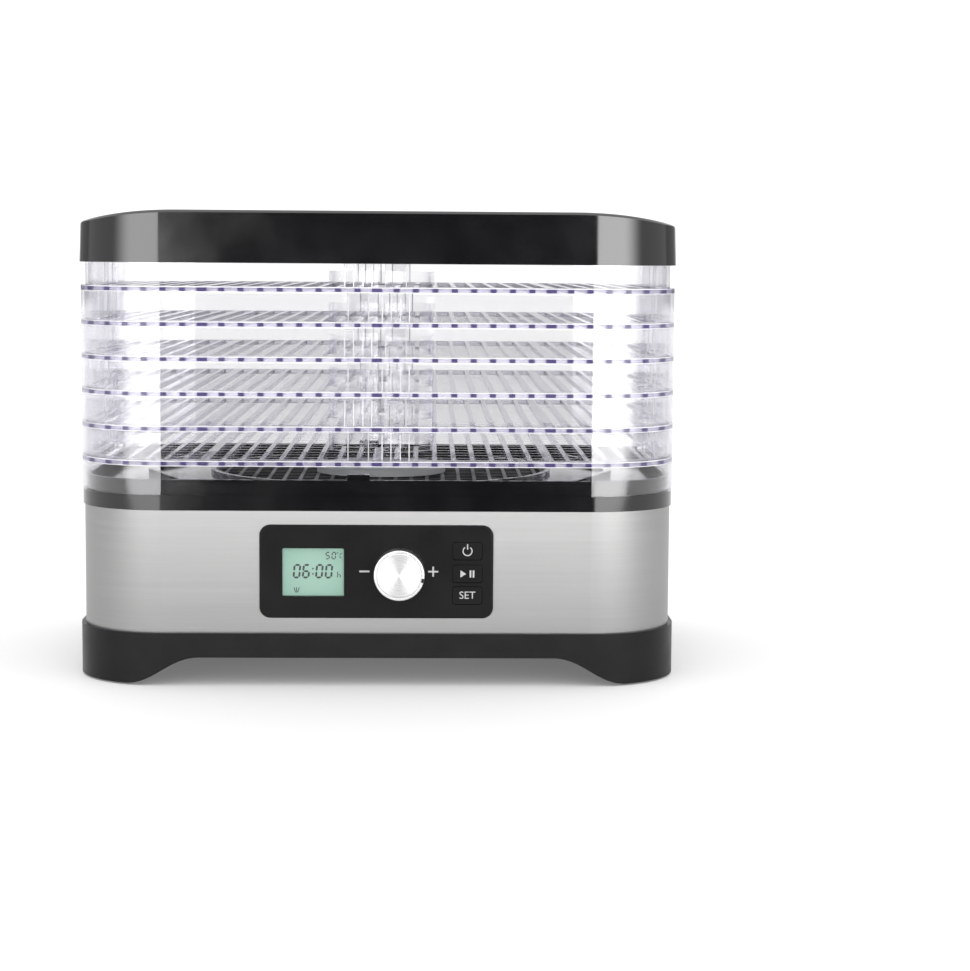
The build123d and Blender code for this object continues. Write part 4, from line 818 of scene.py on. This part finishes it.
def column_highlights(number):
    """Painted highlights: bright upright strips inside the walls of one tray's posts and pockets, in place of
    the shine on their edges.
    """
    half_x, half_y, shelf = tray_halves(number)
    turned = 1 if number % 2 == 0 else -1
    shape = bmesh.new()
    for along, (stand_off, height, lines) in ((turned, POST), (-turned, POCKET)):
        inset = COLLAR_INSIDE + stand_off + HIGHLIGHT_LINE_INSET
        for line in lines:
            middle = along * COLUMN_OFFSET + line
            ends = (middle - HIGHLIGHT_LINE_HALF, middle + HIGHLIGHT_LINE_HALF)
            for side in (-1, 1):
                face, back = (side * (half_y - inset - depth) for depth in (0, HIGHLIGHT_LINE_DEPTH))
                outer, inner = [(end, face) for end in ends], [(end, back) for end in ends]
                wall_patch(shape, outer, inner, shelf, shelf + height)
                face, back = (side * (half_x - inset - depth) for depth in (0, HIGHLIGHT_LINE_DEPTH))
                outer, inner = [(face, end) for end in ends], [(back, end) for end in ends]
                wall_patch(shape, outer, inner, shelf, shelf + height)
    # painted highlight strips, in the near-white highlight material
    finish_piece(shape, f"column_highlights_{number}", PAINTED_HIGHLIGHT, f"tray_{number}_body")


for tray_number in range(1, TRAY_COUNT + 1):
    tray_rim(tray_number)
    column_highlights(tray_number)


# ----------------------------------------------------------------- studio and set
FLOOR_TONE = (0.66, 0.66, 0.66)
FLOOR_SHADE = 0.98  # darkest patches of the floor, against its tone
FLOOR_GLOW = 0.14  # the floor is a sheet lit a little from below
FLOOR_SIZE = 8.0
FLOOR_FRONT = -0.75  # the sheet ends here, in front of the object
BACKGROUND_LIGHT = 1.05
SEEN_LIGHT = 1.25  # seen straight on, the white surroundings are a little overexposed
CEILING_LIGHT = 1.6
CEILING_FROM, CEILING_FULL = 0.15, 0.30  # upward part of the direction
SOFTBOX_LEFT, SOFTBOX_RIGHT = 4.1, 5.6
SIDE_LIGHT = 0.62
REAR_LIGHT = 0.3
FLAG_LIGHT = 0.03
MIDDLE_BLEND = 0.05  # left turns into right within this sideways part of the direction
# the rest are degrees from straight ahead, the same to either side
FLAG_EDGE_LEFT, FLAG_EDGE_RIGHT = 7.0, 8.2
FLAG_BLEND = 1.0
SOFTBOX_END, SIDE_START = 42.0, 72.0
SIDE_END, REAR_START = 116.0, 122.0
REAR_END, BACKGROUND_START = 150.0, 165.0
WALL_CROSSINGS = 32  # clear walls a ray may pass


def add_floor():
    """Pale plain sheet under the object and far behind it."""
    material, g, surface = shader("floor", Roughness=0.7, Specular_IOR_Level=0.2)
    cloud = g.noise(g.place(), scale=3.0)
    g.feed(surface.inputs["Base Color"], g.tint(cloud, shade(FLOOR_TONE, FLOOR_SHADE), FLOOR_TONE))
    surface.inputs["Emission Color"].default_value = (1, 1, 1, 1)
    surface.inputs["Emission Strength"].default_value = FLOOR_GLOW
    mesh = bpy.data.meshes.new("floor")
    size, front = FLOOR_SIZE, FLOOR_FRONT
    corners = [(-size, front, 0), (size, front, 0), (size, size, 0), (-size, size, 0)]
    mesh.from_pydata(corners, [], [(0, 1, 2, 3)])
    mesh.materials.append(material)
    floor = bpy.data.objects.new("floor", mesh)
    scene.collection.objects.link(floor)


def add_studio_light():
    """White surroundings; level with the object, a soft light to each side and a dark flag in front."""
    world = bpy.data.worlds.new("studio")
    world.use_nodes = True
    g = Graph(world.node_tree)
    background = g.node("ShaderNodeBackground")
    background.inputs["Color"].default_value = (1, 1, 1, 1)
    output = g.node("ShaderNodeOutputWorld")
    g.link(background.outputs[0], output.inputs["Surface"])
    coordinates = g.node("ShaderNodeTexCoord")
    direction = g.node("ShaderNodeSeparateXYZ")
    g.link(coordinates.outputs["Generated"], direction.inputs[0])
    across, along, height = (direction.outputs[axis] for axis in "XYZ")
    bearing = g.math("ABSOLUTE", g.math("ARCTAN2", across, g.math("MULTIPLY", along, -1.0)))
    bearing = g.math("MULTIPLY", bearing, math.degrees(1))
    softbox = g.spread(across, -MIDDLE_BLEND, MIDDLE_BLEND, SOFTBOX_LEFT, SOFTBOX_RIGHT)
    flag_edge = g.spread(across, -MIDDLE_BLEND, MIDDLE_BLEND, FLAG_EDGE_LEFT, FLAG_EDGE_RIGHT)
    level = g.spread(bearing, flag_edge, g.math("ADD", flag_edge, FLAG_BLEND), FLAG_LIGHT, softbox)
    level = g.spread(bearing, SOFTBOX_END, SIDE_START, level, SIDE_LIGHT)
    level = g.spread(bearing, SIDE_END, REAR_START, level, REAR_LIGHT)
    level = g.spread(bearing, REAR_END, BACKGROUND_START, level, BACKGROUND_LIGHT)
    level = g.spread(height, CEILING_FROM, CEILING_FULL, level, CEILING_LIGHT)
    seen = g.node("ShaderNodeLightPath")
    level = g.spread(seen.outputs["Is Camera Ray"], 0.0, 1.0, level, SEEN_LIGHT)
    g.feed(background.inputs["Strength"], level)
    scene.world = world


add_floor()
add_studio_light()
scene.view_settings.view_transform = "Standard"
scene.cycles.transparent_max_bounces = WALL_CROSSINGS
